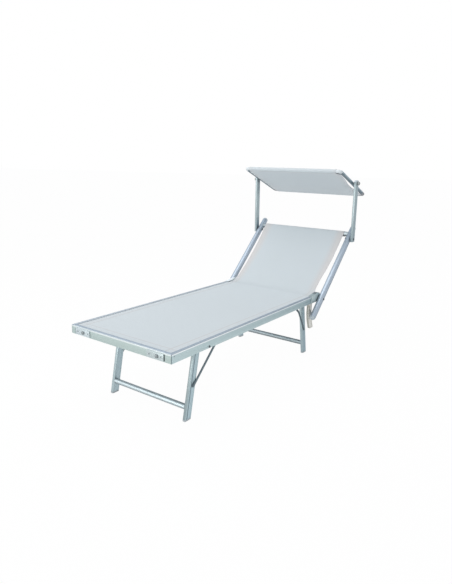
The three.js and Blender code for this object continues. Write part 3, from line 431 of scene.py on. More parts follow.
# lit and shaded copies of the cap metal: painted shade on the caps' front slope and on the near cap's top,
# painted light on the far cap's top and inner face
capSlopeShadeMetal = metalFinish("capSlopeShadeMetal", (0.40, 0.47, 0.48), (0.30, 0.35, 0.36), 0.5, "Y", metallic=0.4)
capFarLitMetal = metalFinish("capFarLitMetal", (0.90, 0.95, 0.98), (0.8, 0.85, 0.88), 0.5, "Y", metallic=0.2,
                          wear=0.1)
capTopShadeMetal = metalFinish("capTopShadeMetal", (0.20, 0.24, 0.25), (0.13, 0.15, 0.16), 0.5, "Y", metallic=0.4)
# painted shade in the rails' channels and on the bead over them
channelShadeMetal = metalFinish("channelShadeMetal", (0.385, 0.445, 0.505), (0.30, 0.35, 0.40), 0.5, "XY", metallic=0.5)
legMetal = metalFinish("legMetal", (0.43, 0.52, 0.54), (0.32, 0.39, 0.41), 0.36, "Z")
# lit and shaded copies of the leg metal: painted shade on the near front leg's front face and on the legs'
# sides, painted light on the near front leg's outer side
legNearShadeMetal = metalFinish("legNearShadeMetal", (0.33, 0.395, 0.405), (0.27, 0.32, 0.33), 0.4, "Z")
legNearSideLitMetal = metalFinish("legNearSideLitMetal", (0.485, 0.595, 0.625), (0.35, 0.43, 0.46), 0.42, "Z")
legSideShadeMetal = metalFinish("legSideShadeMetal", (0.415, 0.515, 0.55), (0.30, 0.38, 0.41), 0.42, "Z")
# dark metal for the rails' mitre joints, and painted shade in the legs' grooves and in a band along the near
# front leg's side
jointAndGrooveShadeMetal = metalFinish("jointAndGrooveShadeMetal", (0.10, 0.14, 0.165), (0.06, 0.09, 0.1), 0.5, "Z", metallic=0.5)
crossbarMetal = metalFinish("crossbarMetal", (0.60, 0.68, 0.70), (0.46, 0.52, 0.54), 0.46, "X", metallic=0.55,
                            lineStrength=0.1, wear=0.15, bump=0.02, stops=roundPaintedBands)
# a darker copy of the crossbar's metal: painted shade on the rear crossbar under the seat
crossbarRearShadeMetal = metalFinish("crossbarRearShadeMetal", (0.45, 0.515, 0.535), (0.35, 0.40, 0.42), 0.46, "X",
                                metallic=0.55, lineStrength=0.1, wear=0.15, bump=0.02, stops=roundPaintedBands)
topTubeMetal = metalFinish("topTubeMetal", (0.60, 0.66, 0.68), (0.45, 0.50, 0.52), 0.38, "X", stops=topPaintedBands)
tubeMetal = metalFinish("tubeMetal", (0.455, 0.52, 0.59), (0.35, 0.405, 0.47), 0.42, "YZ", metallic=0.6,
                        stops=tubePaintedBands)
armMetal = metalFinish("armMetal", (0.405, 0.48, 0.495), (0.31, 0.37, 0.38), 0.38, "Z")
# a dark copy of the canopy bar's metal: painted shade on the far side bar
barFarShadeMetal = metalFinish("barFarShadeMetal", (0.20, 0.245, 0.27), (0.15, 0.18, 0.20), 0.4, "Y")
barMetal = metalFinish("barMetal", (0.40, 0.48, 0.515), (0.3, 0.36, 0.39), 0.34, "Y", stops=barPaintedBands)
plateMetal = metalFinish("plateMetal", (0.58, 0.65, 0.67), (0.44, 0.49, 0.51), 0.4, "X", metallic=0.5)
# a darker copy of the plate's metal: painted shade on the near plate
plateNearShadeMetal = metalFinish("plateNearShadeMetal", (0.52, 0.59, 0.59), (0.4, 0.45, 0.45), 0.4, "X", metallic=0.5)
# painted shadow on the plates' bosses and on the plates' edge faces beside them
bossShadowMetal = metalFinish("bossShadowMetal", (0.28, 0.31, 0.315), (0.12, 0.14, 0.14), 0.4, "", metallic=0.5)
braceMetal = metalFinish("braceMetal", (0.17, 0.215, 0.235), (0.10, 0.12, 0.13), 0.45, "YZ", metallic=0.6,
                         wear=0.5)
boltMetal = metalFinish("boltMetal", (0.13, 0.14, 0.15), (0.06, 0.06, 0.07), 0.4, "", metallic=0.7, wear=0.5)
screwMetal = metalFinish("screwMetal", (0.34, 0.38, 0.39), (0.15, 0.17, 0.18), 0.35, "", wear=0.5)
rackShadePlastic = plasticFinish("rackShadePlastic", (0.56, 0.55, 0.49), (0.28, 0.27, 0.23), 0.6, dirt=0.6)
rackPlastic = plasticFinish("rackPlastic", (0.86, 0.84, 0.78), (0.42, 0.40, 0.35), 0.5, dirt=0.5)
capPlastic = plasticFinish("capPlastic", (0.55, 0.62, 0.66), (0.36, 0.41, 0.44), 0.45)
cornerPlastic = plasticFinish("cornerPlastic", (0.74, 0.79, 0.81), (0.52, 0.56, 0.58), 0.45)
# a dark copy of the corner plastic: painted shade on the canopy's rear corners
cornerShadePlastic = plasticFinish("cornerShadePlastic", (0.30, 0.31, 0.33), (0.16, 0.17, 0.18), 0.5)
footPlastic = plasticFinish("footPlastic", (0.50, 0.54, 0.56), (0.26, 0.28, 0.30), 0.55, dirt=0.5)
knobPlastic = plasticFinish("knobPlastic", (0.36, 0.385, 0.38), (0.2, 0.22, 0.22), 0.4, coat=0.15)
# near-black plastic that stands in for shadow in narrow gaps
shadowDarkPlastic = plasticFinish("shadowDarkPlastic", (0.03, 0.035, 0.04), (0.015, 0.017, 0.02), 0.5)
# the sling's last tuples paint paler and darker stretches of light along its length
slingCloth = clothFinish("slingCloth", clothLook, 0.250, (1.16, 1.32), (0.08, 0.85), (0.046,),
                         ((0.7, 1.0), (1.18, 1.05), (1.235, 0.985), (1.5, 0.985), (1.8, 1.0)))
canopyCloth = clothFinish("canopyCloth", clothLook, 0.290, (-1.0, -0.5), (0.1, 0.3), (0.075,))
print("materials made")


# each node takes the first finish whose name begins its own
nodeFinishes = [
    ("side_rail", railSideMetal), ("front_rail", railFrontShadedMetal), ("rail_end_cap", capMetal),
    ("rear_cross_tube", crossbarMetal), ("front_plate_left", plateMetal), ("front_plate", plateNearShadeMetal),
    ("leg_pivot_bolt", boltMetal), ("adjuster_rack", rackPlastic), ("backrest_pivot_bolt", boltMetal),
    ("leg_bracket", braceMetal), ("leg_", legMetal), ("crossbar_rear", crossbarRearShadeMetal),
    ("crossbar", crossbarMetal), ("foot_cap", footPlastic), ("brace_", braceMetal),
    ("backrest_tube", tubeMetal), ("tube_top_cap", capPlastic), ("latch_cap", capPlastic),
    ("backrest_top_tube", topTubeMetal), ("arm_pivot_bolt", boltMetal), ("canopy_arm", armMetal),
    ("arm_top_cap", capPlastic), ("canopy_side_bar_left", barFarShadeMetal), ("canopy_side_bar", barMetal),
    ("canopy_front_tube", crossbarMetal), ("canopy_rear_tube", crossbarMetal),
    ("canopy_corner_front", cornerPlastic), ("canopy_corner_rear", cornerShadePlastic),
    ("canopy_knob", knobPlastic), ("sling_", slingCloth), ("canopy_cloth", canopyCloth),
]


def finishOf(name):
    return next(finish for start, finish in nodeFinishes if name.startswith(start))


bodyOf = {node: body for body, members in frame["record"]["behaviour"]["bodies"].items() for node in members}


# Tilted lines of the backrest, the canopy and the front legs: a pivot, as y and z, and the tilt from level

backrestLine = {"pivot": (0.38004, 0.35), "tilt": math.radians(43.8)}
canopyLine = {"pivot": (0.698897, 1.002297), "tilt": math.radians(-20.4)}
frontLegLine = {"pivot": (0.0, 0.0), "tilt": math.radians(-10.69)}


def pointOn(line, along, out):
    # the point that lies along and out from the pivot, as y and z
    (y, z), turn = line["pivot"], line["tilt"]
    return y + along * math.cos(turn) - out * math.sin(turn), z + along * math.sin(turn) + out * math.cos(turn)


def alongOn(line, y, z):
    # how far along a point lies from the pivot
    (pivotY, pivotZ), turn = line["pivot"], line["tilt"]
    return (y - pivotY) * math.cos(turn) + (z - pivotZ) * math.sin(turn)


# Rigid pieces: each node's shape is welded, its hard edges are eased and its round faces shaded smooth

easing = {"weld": 0.00001, "flat": math.radians(1.0), "edge": 0.0006, "sharp": math.radians(32), "segments": 2}
clothNodes = {"sling_seat", "sling_back", "canopy_cloth"}


def select(obj):
    bpy.ops.object.select_all(action="DESELECT")
    obj.select_set(True)
    bpy.context.view_layer.objects.active = obj


def applyAll(obj):
    select(obj)
    for modifier in list(obj.modifiers):
        bpy.ops.object.modifier_apply(modifier=modifier.name)


# Where a finish changes within a node: heights, distances in or out, and places near the foot or far from it

looks = {"straight": 0.9, "mostly": 0.8, "leaning": 0.6, "partly": 0.5}   # how far a face looks one way
sideRail = {"lipLow": 0.3672, "lipHigh": 0.3722, "crest": 0.3745, "floor": 0.36, "channelIn": 0.289,
            "channelOut": 0.2965, "topIn": 0.2940, "lipOut": 0.2995, "mitreY": -0.8916, "mitreOut": 0.299}
footRail = {"lipLow": 0.3665, "lipHigh": 0.3722, "crest": 0.3745, "floor": 0.36, "channelNear": -0.8899,
            "channelFar": -0.8824, "topNear": -0.8874, "lipNear": -0.8928, "mitreOut": 0.2982,
            "shadeFrom": -0.279, "shadeTo": -0.268}
cornerPlate = {"bossNear": -0.8984, "wallNear": -0.8966, "low": 0.344, "high": 0.36}
endCap = {"top": 0.374, "slopeEnd": 0.338}
rack = {"headLow": 0.195}
canopyCorner = {"barFrom": -0.182}
legBar = {"grooveIn": 0.2215, "grooveOut": 0.2365, "edgeOut": 0.236, "edgeNear": -0.7166, "edgeFar": -0.70975}


def onCapTop(c, n):
    return c.z > endCap["top"] and n.z > looks["partly"]


def onSideTop(c, n):
    return c.z > sideRail["lipHigh"] and abs(c.x) > sideRail["topIn"]


def inSideChannel(c, n):
    between = sideRail["channelIn"] < abs(c.x) < sideRail["channelOut"]
    return c.z > sideRail["crest"] or (c.z > sideRail["floor"] and between)


def inFrontChannel(c, n):
    between = footRail["channelNear"] < c.y < footRail["channelFar"]
    return c.z > footRail["crest"] or (c.z > footRail["floor"] and between)


def onPlateBoss(c, n):
    level = cornerPlate["low"] < c.z < cornerPlate["high"]
    onWall = c.y < cornerPlate["wallNear"] and abs(n.y) < looks["leaning"]
    return c.y < cornerPlate["bossNear"] or (onWall and level)


def onLegSide(c, n):
    return abs(n.x) > looks["straight"]


# the groove in each leg's side, painted dark as shade in the recess
def inLegGroove(c, n):
    return onLegSide(c, n) and legBar["grooveIn"] < abs(c.x) < legBar["grooveOut"]


# a band of painted shade along the near front leg's outer side, behind its front edge
def onLegEdgeShade(c, n):
    near = legBar["edgeNear"] < alongOn(frontLegLine, c.y, c.z) < legBar["edgeFar"]
    return n.x > looks["straight"] and c.x > legBar["edgeOut"] and near


# faces with a finish of their own, chosen by the place of their middle (c) and by where they look (n); most of
# these finishes paint light and shade: highlights and reflections on the lips, shade in channels, grooves and
# gaps, and lit and shaded copies on legs, caps, plates and the rack
faceFinishes = [
    ("side_rail", jointAndGrooveShadeMetal, lambda c, n: c.y < sideRail["mitreY"] and abs(n.x) > looks["straight"]
     and abs(c.x) > sideRail["mitreOut"]),
    ("side_rail", lipHighlightSideMetal, lambda c, n: sideRail["lipLow"] < c.z < sideRail["lipHigh"]
     and abs(c.x) > sideRail["lipOut"]),
    ("side_rail_left", lipFarLitMetal, onSideTop),
    ("side_rail", lipTopReflectionMetal, onSideTop),
    ("side_rail", channelShadeMetal, inSideChannel),
    ("front_rail", jointAndGrooveShadeMetal, lambda c, n: abs(c.x) > footRail["mitreOut"] and n.y < -looks["straight"]),
    ("front_rail", lipHighlightFrontMetal, lambda c, n: footRail["lipLow"] < c.z < footRail["lipHigh"]
     and c.y < footRail["lipNear"]),
    ("front_rail", railFrontDeepShadeMetal, lambda c, n: footRail["shadeFrom"] < c.x < footRail["shadeTo"]
     and n.y < -looks["straight"]),
    ("front_rail", lipTopReflectionMetal, lambda c, n: c.z > footRail["lipHigh"] and c.y < footRail["topNear"]),
    ("front_rail", channelShadeMetal, inFrontChannel),
    ("front_plate", bossShadowMetal, onPlateBoss),
    ("rail_end_cap_left", capFarLitMetal, lambda c, n: c.z > endCap["top"]
     and (n.z > looks["partly"] or n.x > looks["straight"])),
    ("rail_end_cap", capSlopeShadeMetal, lambda c, n: onCapTop(c, n) and c.y < endCap["slopeEnd"]),
    ("rail_end_cap", capTopShadeMetal, onCapTop),
    ("adjuster_rack", rackShadePlastic, lambda c, n: n.y < -looks["leaning"]
     or (abs(n.z) > looks["leaning"] and c.z > rack["headLow"])),
    ("canopy_corner_front", barMetal, lambda c, n: alongOn(canopyLine, c.y, c.z) > canopyCorner["barFrom"]),
    ("leg_front_right", jointAndGrooveShadeMetal, onLegEdgeShade),
    ("leg_front", jointAndGrooveShadeMetal, inLegGroove),
    ("leg_rear", jointAndGrooveShadeMetal, inLegGroove),
    ("leg_front_right", legNearSideLitMetal, lambda c, n: n.x > looks["straight"]),
    ("leg_front", legSideShadeMetal, onLegSide),
    ("leg_rear", legSideShadeMetal, onLegSide),
    ("leg_front_right", legNearShadeMetal, lambda c, n: n.y < -looks["mostly"]),
]

# cuts that part a face where its finish changes: a point and a direction
legCut = pointOn(frontLegLine, legBar["edgeFar"], 0.0)
legSquare = (math.cos(frontLegLine["tilt"]), math.sin(frontLegLine["tilt"]))
faceCuts = [("side_rail", (0, 0, sideRail[line]), (0, 0, 1)) for line in ("lipLow", "lipHigh")]
faceCuts += [("side_rail", (0, sideRail["mitreY"], 0), (0, 1, 0))]
faceCuts += [("front_rail", (0, 0, footRail[line]), (0, 0, 1)) for line in ("lipLow", "lipHigh")]
crossCuts = (-footRail["mitreOut"], footRail["mitreOut"], footRail["shadeFrom"], footRail["shadeTo"])
faceCuts += [("front_rail", (x, 0, 0), (1, 0, 0)) for x in crossCuts]
faceCuts += [("rail_end_cap", (0, endCap["slopeEnd"], 0), (0, 1, 0))]
faceCuts += [("leg_front_right", (0, *legCut), (0, *legSquare))]


def finishFaces(piece, name):
    taken = set()
    for start, finish, chosen in faceFinishes:
        if not name.startswith(start):
            continue
        piece.data.materials.append(finish)
        for face in piece.data.polygons:
            if face.index not in taken and chosen(face.center, face.normal):
                face.material_index = len(piece.data.materials) - 1
                taken.add(face.index)


def easedCopy(name):
    piece = addObject(name + "_eased", nodes[name].data.copy())
    piece.data.materials.clear()
    piece.data.materials.append(finishOf(name))
    select(piece)
    bpy.ops.object.mode_set(mode="EDIT")
    bpy.ops.mesh.select_all(action="SELECT")
    bpy.ops.mesh.customdata_custom_splitnormals_clear()
    bpy.ops.mesh.remove_doubles(threshold=easing["weld"])
    bpy.ops.mesh.dissolve_limited(angle_limit=easing["flat"])
    for start, place, direction in faceCuts:
        if name.startswith(start):
            bpy.ops.mesh.select_all(action="SELECT")
            bpy.ops.mesh.bisect(plane_co=place, plane_no=direction)
    bpy.ops.object.mode_set(mode="OBJECT")
    finishFaces(piece, name)
    bevel = piece.modifiers.new("edges", "BEVEL")
    bevel.width = easing["edge"]
    bevel.segments = easing["segments"]
    bevel.limit_method = "ANGLE"
    bevel.angle_limit = easing["sharp"]
    applyAll(piece)
    bpy.ops.object.shade_smooth_by_angle(angle=easing["sharp"])
    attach(piece, bodyOf[name])
    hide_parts(name)


rigidNodes = [name for name in sorted(nodes) if name not in clothNodes]
for name in rigidNodes:
    easedCopy(name)
print("rigid pieces eased,", len(rigidNodes))


# Small hard pieces: swept strips and turned heads, modelled in edit mode

def ride(piece, body, finish):
    piece.data.materials.append(finish)
    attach(piece, body)


def sweptStrip(name, rings):
    # a closed outline that is drawn out from ring to ring
    bpy.ops.object.select_all(action="DESELECT")
    bpy.ops.mesh.primitive_circle_add(vertices=len(rings[0]), radius=1.0, fill_type="NGON")
    strip = bpy.context.object
    strip.name = strip.data.name = name
    for vertex, place in zip(strip.data.vertices, rings[0]):
        vertex.co = place
    bpy.ops.object.mode_set(mode="EDIT")
    for before, after in zip(rings, rings[1:]):
        bpy.ops.mesh.select_all(action="DESELECT")
        shape = bmesh.from_edit_mesh(strip.data)
        ends = {tuple(round(v, 6) for v in place): Vector(goal) for place, goal in zip(before, after)}
        cap = [f for f in shape.faces if all(tuple(round(c, 6) for c in v.co) in ends for v in f.verts)]
        cap[0].select_set(True)
        bmesh.update_edit_mesh(strip.data)
        bpy.ops.mesh.extrude_region_move(TRANSFORM_OT_translate={"value": (0, 0, 0)})
        shape = bmesh.from_edit_mesh(strip.data)
        for vertex in [v for v in shape.verts if v.select]:
            vertex.co = ends[tuple(round(c, 6) for c in vertex.co)]
        bmesh.update_edit_mesh(strip.data)
    bpy.ops.mesh.select_all(action="SELECT")
    bpy.ops.mesh.normals_make_consistent(inside=False)
    bpy.ops.object.mode_set(mode="OBJECT")
    return strip


# the bead that closes the rails' channels over the cloth, by its distance from the rails' outer faces; it
# carries the channels' painted shade, and the far lip's painted light on the far side
channelBead = {"outline": ((0.0063, 0.3724), (0.0150, 0.3724), (0.0150, 0.3742), (0.0136, 0.3750),
                           (0.0078, 0.3752), (0.0063, 0.3746)),
               "outerX": 0.3, "frontY": -0.89336, "rearY": 0.2905, "farX": -0.28}


def makeChannelBead():
    b = channelBead
    rings = []
    for side, mitred in ((-1, False), (-1, True), (1, True), (1, False)):
        rings.append([(side * (b["outerX"] - d), b["frontY"] + d if mitred else b["rearY"], z)
                      for d, z in b["outline"]])
    bead = sweptStrip("channelBead", rings)
    ride(bead, "frame", channelShadeMetal)
    bead.data.materials.append(lipFarLitMetal)
    for face in bead.data.polygons:
        if face.center.x < b["farX"]:
            face.material_index = 1


# a dark strip of painted shadow between each hinge cheek and the backrest's tube
hingeShadowStrip = {"line": ((0.3872, 0.3694), (0.3692, 0.3553), (0.3592, 0.3405), (0.3440, 0.3372)), "half": 0.0008,
            "inner": 0.30205, "outer": 0.30275}


def makeHingeShadowStrips():
    h = hingeShadowStrip
    for side, word in ((1, "right"), (-1, "left")):
        rings = []
        for i, (y, z) in enumerate(h["line"]):
            before, after = h["line"][max(i - 1, 0)], h["line"][min(i + 1, len(h["line"]) - 1)]
            step = Vector((after[0] - before[0], after[1] - before[1])).normalized() * h["half"]
            rings.append([(side * x, y + up * step.y, z - up * step.x)
                          for x, up in ((h["inner"], -1), (h["inner"], 1), (h["outer"], 1), (h["outer"], -1))])
        ride(sweptStrip("hingeShadowStrip_" + word, rings), "frame", shadowDarkPlastic)


# round screw heads: radius, height, depth of the driver's slot, direction they face and places
screwHeads = [
    {"name": "plateScrew", "radius": 0.0034, "height": 0.0015, "deep": 0.0008, "faces": "front",
     "places": ((-0.2567, -0.8964, 0.3517), (-0.1885, -0.8964, 0.3517), (0.1826, -0.8964, 0.3517),
                (0.2476, -0.8964, 0.3517))},
    {"name": "cornerScrew", "radius": 0.0026, "height": 0.0010, "deep": 0.0006, "faces": "right",
     "places": ((0.3001, -0.8760, 0.3630),)},
    {"name": "cornerScrewFar", "radius": 0.0026, "height": 0.0010, "deep": 0.0006, "faces": "left",
     "places": ((-0.3001, -0.8760, 0.3630),)},
]
headTurns = {"front": (math.pi / 2, 0, 0), "right": (0, math.pi / 2, 0), "left": (0, -math.pi / 2, 0)}
headShares = {"rim": 0.3, "crown": 0.35, "slotInset": 0.42, "slotLong": 1.6, "slotWide": 0.5}


def makeScrewHeads():
    h = headShares
    for kind in screwHeads:
        bpy.ops.object.select_all(action="DESELECT")
        bpy.ops.mesh.primitive_cylinder_add(vertices=24, radius=kind["radius"], depth=kind["height"])
        head = bpy.context.object
        bpy.ops.object.mode_set(mode="EDIT")
        shape = bmesh.from_edit_mesh(head.data)
        bpy.ops.mesh.select_all(action="DESELECT")
        for face in shape.faces:
            face.select_set(face.normal.z > looks["straight"])
        bmesh.update_edit_mesh(head.data)
        bpy.ops.mesh.inset(thickness=kind["radius"] * h["rim"])
        bpy.ops.transform.translate(value=(0, 0, kind["height"] * h["crown"]))
        bpy.ops.mesh.inset(thickness=kind["radius"] * h["slotInset"])
        bpy.ops.transform.resize(value=(h["slotLong"], h["slotWide"], 1.0))
        bpy.ops.mesh.extrude_region_move(TRANSFORM_OT_translate={"value": (0, 0, -kind["deep"])})
        bpy.ops.object.mode_set(mode="OBJECT")
        head.rotation_euler = headTurns[kind["faces"]]
        bpy.ops.object.transform_apply(location=False, rotation=True, scale=False)
        for i, place in enumerate(kind["places"]):
            mesh = head.data.copy()
            mesh.transform(Matrix.Translation(Vector(place)))
            screw = addObject(kind["name"] + str(i + 1), mesh)
            select(screw)
            bpy.ops.object.shade_smooth_by_angle(angle=easing["sharp"])
            ride(screw, "frame", screwMetal)
        bpy.data.objects.remove(head)


# dark strips of painted shade where the front rail's plates end: place across, half the width and finish
frontShadeStrips = {"places": ((0.2640, 0.0017, shadowDarkPlastic), (-0.1755, 0.0007, railFrontDeepShadeMetal)), "lowZ": 0.3385,
              "highZ": 0.3655, "face": -0.89366, "proud": 0.0006, "edge": 0.0003}


def makeFrontShadeStrips():
    f = frontShadeStrips
    for i, (x, half, finish) in enumerate(f["places"]):
        bpy.ops.object.select_all(action="DESELECT")
        size = (2 * half, 2 * f["proud"], f["highZ"] - f["lowZ"])
        place = (x, f["face"], (f["highZ"] + f["lowZ"]) / 2)
        bpy.ops.mesh.primitive_cube_add(size=1.0, location=place, scale=size)
        shadeStrip = bpy.context.object
        shadeStrip.name = "frontShadeStrip" + str(i + 1)
        bpy.ops.object.transform_apply(location=True, rotation=True, scale=True)
        bevel = shadeStrip.modifiers.new("edges", "BEVEL")
        bevel.width = f["edge"]
        bevel.segments = easing["segments"]
        applyAll(shadeStrip)
        ride(shadeStrip, "frame", finish)


makeChannelBead()
makeHingeShadowStrips()
makeScrewHeads()
makeFrontShadeStrips()
print("small hard pieces made")


# Sling: one cloth from the foot rail's channel, over the seat and the fold and round the backrest's top tube

sling = {
    "frontY": -0.8862, "flatTop": 0.3711,   # where the seat begins at the foot, and its height
    "foldFrom": 0.322, "foldTo": 0.450, "foldPull": 0.96,   # the fold between seat and backrest
    "lowAt": -0.0022, "lowOut": 0.0315, "topAt": 0.4925, "sag": 0.018, "sagShare": 1.2,   # on the backrest
    "wrap": 0.0163, "wrapTurn": 1.5 * math.pi,   # round the top tube
    "edge": ((0.0, 0.2835), (0.06, 0.2745), (0.12, 0.274), (0.2, 0.278), (0.3, 0.281), (0.4925, 0.2845)),
    "slotX": 0.2928, "slotDepth": 0.0085, "slotIn": 0.0035, "slotMap": 0.008,   # the edge in the rails' slots
    "leaveY": 0.318, "freeY": 0.372,   # where the edge leaves the slots, and where it hangs free
    "hemIn": 0.008, "hemMap": 0.004, "hemColumns": 3, "thick": 0.0012, "flatWide": 0.60,
    "blendFrom": (0, 0.325, 0.371), "blendTo": (0, 0.405, 0.43),
    "columns": 72, "seatRows": 90, "foldRows": 26, "backRows": 60, "loopRows": 18,
}


def slingPath():
    # the cloth's middle line as y and z: flat over the seat, up through the fold, sagging on the backrest
    s = sling
    seat = []
    for i in range(s["seatRows"] + 1):
        seat.append((s["frontY"] + (s["foldFrom"] - s["frontY"]) * i / s["seatRows"], s["flatTop"]))
    back = []
    for i in range(s["backRows"] + 1):
        share = i / s["backRows"]
        along = s["lowAt"] + (s["topAt"] - s["lowAt"]) * share
        hang = s["sag"] * math.sin(math.pi * share ** s["sagShare"])
        back.append(pointOn(backrestLine, along, s["lowOut"] - (s["lowOut"] - s["wrap"]) * share - hang))
    back = [point for point in back if point[0] > s["foldTo"]]
    # the fold leaves the seat level and meets the backrest at its own slope
    (startY, startZ), (endY, endZ) = seat[-1], back[0]
    pull = s["foldPull"] * math.dist(seat[-1], back[0])
    slope = Vector((back[1][0] - endY, back[1][1] - endZ)).normalized() * pull
    fold = []
    for i in range(1, s["foldRows"]):
        t = i / s["foldRows"]
        atStart = 2 * t ** 3 - 3 * t ** 2 + 1
        leaving = t ** 3 - 2 * t ** 2 + t
        arriving = t ** 3 - t ** 2
        fold.append((atStart * startY + leaving * pull + (1 - atStart) * endY + arriving * slope.x,
                     atStart * startZ + (1 - atStart) * endZ + arriving * slope.y))
    loop = []
    for i in range(1, s["loopRows"] + 1):
        turn = math.pi / 2 - s["wrapTurn"] * i / s["loopRows"]
        loop.append(pointOn(backrestLine, s["topAt"] + s["wrap"] * math.cos(turn), s["wrap"] * math.sin(turn)))
    return seat + fold + back + loop


def runLengths(path):
    # how far along the path each of its points lies
    lengths = [0.0]
    for before, after in zip(path, path[1:]):
        lengths.append(lengths[-1] + math.dist(before, after))
    return lengths


def smoothStep(value, low, high):
    t = min(1.0, max(0.0, (value - low) / (high - low)))
    return t * t * (3 - 2 * t)


def curveAt(points, at):
    # a smooth curve through rising points, level at each end
    if at <= points[0][0]:
        return points[0][1]
    for (a, low), (b, high) in zip(points, points[1:]):
        if at <= b:
            return low + (high - low) * smoothStep(at, a, b)
    return points[-1][1]


def slingHalf(y, z):
    # half the cloth's width, and how much the rail's slot still holds its edge
    held = 1 - smoothStep(y, sling["leaveY"], sling["freeY"])
    onTubes = curveAt(sling["edge"], alongOn(backrestLine, y, z))
    return sling["slotX"] * held + onTubes * (1 - held), held


sheetSharp = math.radians(50)


def makeSheet(name, rows, columns, place, thick):
    # a grid whose columns run across and rows run along; place gives each point and its UV in metres
    bpy.ops.object.select_all(action="DESELECT")
    bpy.ops.mesh.primitive_grid_add(x_subdivisions=columns, y_subdivisions=rows, size=2.0)
    sheet = bpy.context.object
    sheet.name = name
    mesh = sheet.data
    mesh.name = name
    while mesh.uv_layers:
        mesh.uv_layers.remove(mesh.uv_layers[0])
    layer = mesh.uv_layers.new(name="cloth")
    spots = {}
    for vertex in mesh.vertices:
        column = round((vertex.co.x + 1) / 2 * columns)
        row = round((vertex.co.y + 1) / 2 * rows)
        point, uv = place(column, row)
        spots[vertex.index] = uv
        vertex.co = point
    for loop in mesh.loops:
        layer.data[loop.index].uv = spots[loop.vertex_index]
    mesh.update()
    solid = sheet.modifiers.new("thickness", "SOLIDIFY")
    solid.thickness = thick
    solid.offset = 0.0
    applyAll(sheet)
    bpy.ops.object.shade_smooth_by_angle(angle=sheetSharp)
    return sheet


def makeSling():
    s = sling
    path = slingPath()
    lengths = runLengths(path)
    middle = s["columns"] / 2

    def place(column, row):
        y, z = path[row]
        half, held = slingHalf(y, z)
        side = 1 if column > middle else -1
        slotIn = s["slotIn"] * held
        hemIn = s["hemIn"] * (1 - held)
        # the outer columns turn down into the rail's slot: 0 where the hem begins, 1 at the edge
        turn = (abs(column - middle) - middle + s["hemColumns"]) / s["hemColumns"]
        if turn <= 0:
            x = side * (half - slotIn - hemIn) * abs(column - middle) / (middle - s["hemColumns"])
            return Vector((x, y, z)), (x, lengths[row])
        bend = turn * math.pi / 2
        x = side * (half - slotIn * (1 - math.sin(bend)) - hemIn * (1 - turn))
        u = side * (half - s["hemMap"] * (1 - turn) + s["slotMap"] * held * turn)
        return Vector((x, y, z - held * s["slotDepth"] * (1 - math.cos(bend)))), (u, lengths[row])

    piece = makeSheet("sling", len(path) - 1, s["columns"], place, s["thick"])
    piece.data.materials.append(slingCloth)
    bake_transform(piece)
    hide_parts("sling_seat", "sling_back")
    return lengths[-1]


print("sling made, length", round(makeSling(), 3))


# Canopy cloth: one sheet with a pocket round the front tube and one round the rear tube

canopy = {
    "front": -0.1935, "rear": 0.207, "dip": 0.003, "thick": 0.001,   # from tube to tube
    "wrap": 0.0113, "wrapTurn": 1.25 * math.pi, "flap": 0.026, "flapLift": 0.0016,   # round the tubes
    "pocketHalf": 0.295, "pocketEdge": (0.010, 0.022),
    "clothHalf": 0.3175, "hollow": 0.0135, "farHalf": 0.304, "farHollow": 0.003, "farToNear": (-0.2, 0.2),
    "columns": 60, "rows": 44, "loopRows": 16,
}


def canopyPath():
    # the cloth's middle line, along and out from the canopy's pivot: pocket, sheet, pocket
    c = canopy
    line = [(c["front"] + c["flap"], c["flapLift"] - c["wrap"])]
    for i in range(c["loopRows"]):
        turn = math.pi / 4 + c["wrapTurn"] * i / c["loopRows"]
        line.append((c["front"] + c["wrap"] * math.cos(turn), c["wrap"] * math.sin(turn)))
    for i in range(c["rows"] + 1):
        share = i / c["rows"]
        dip = c["dip"] * math.sin(math.pi * share)
        line.append((c["front"] + (c["rear"] - c["front"]) * share, -c["wrap"] - dip))
    for i in range(1, c["loopRows"] + 1):
        turn = c["wrapTurn"] * i / c["loopRows"] - math.pi / 2
        line.append((c["rear"] + c["wrap"] * math.cos(turn), c["wrap"] * math.sin(turn)))
    return line + [(c["rear"] - c["flap"], c["flapLift"] - c["wrap"])]


def canopyHalf(along, across):
    # half the cloth's width: the far edge leaves the bar in sight, the near edge covers it
    c = canopy
    share = min(1.0, max(0.0, (along - c["front"]) / (c["rear"] - c["front"])))
    inPocket = 1 - smoothStep(min(along - c["front"], c["rear"] - along), *c["pocketEdge"])
    near = smoothStep(across, *c["farToNear"])
    half = c["farHalf"] + (c["clothHalf"] - c["farHalf"]) * near
    hollow = c["farHollow"] + (c["hollow"] - c["farHollow"]) * near
    free = half - hollow * math.sin(math.pi * share) ** 4
    return free * (1 - inPocket) + c["pocketHalf"] * inPocket


def makeCanopyCloth():
    c = canopy
    path = canopyPath()
    lengths = runLengths(path)

    def place(column, row):
        along, out = path[row]
        across = 2 * column / c["columns"] - 1
        x = across * canopyHalf(along, across)
        return Vector((x, *pointOn(canopyLine, along, out))), (x, lengths[row])

    piece = makeSheet("canopyCloth", len(path) - 1, c["columns"], place, c["thick"])
    piece.data.materials.append(canopyCloth)
    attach(piece, "canopy")
    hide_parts("canopy_cloth")
    return lengths[-1]


print("canopy cloth made, length", round(makeCanopyCloth(), 3))


# Floor and light

# lift: how much of its own white the floor shows; wallTones: from the horizon up to the ceiling
studio = {"floor": 60.0, "floorColour": (0.88, 0.88, 0.88), "floorRough": 0.9, "lift": 0.975,
          "sky": 0.70, "skyColour": (0.95, 0.97, 1.0),
          "wallTones": ((0.30, (1.0, 1.0, 1.0)), (0.37, (0.66, 0.72, 0.79)), (0.52, (0.66, 0.72, 0.79)),
                        (0.66, (0.86, 0.90, 0.95)))}


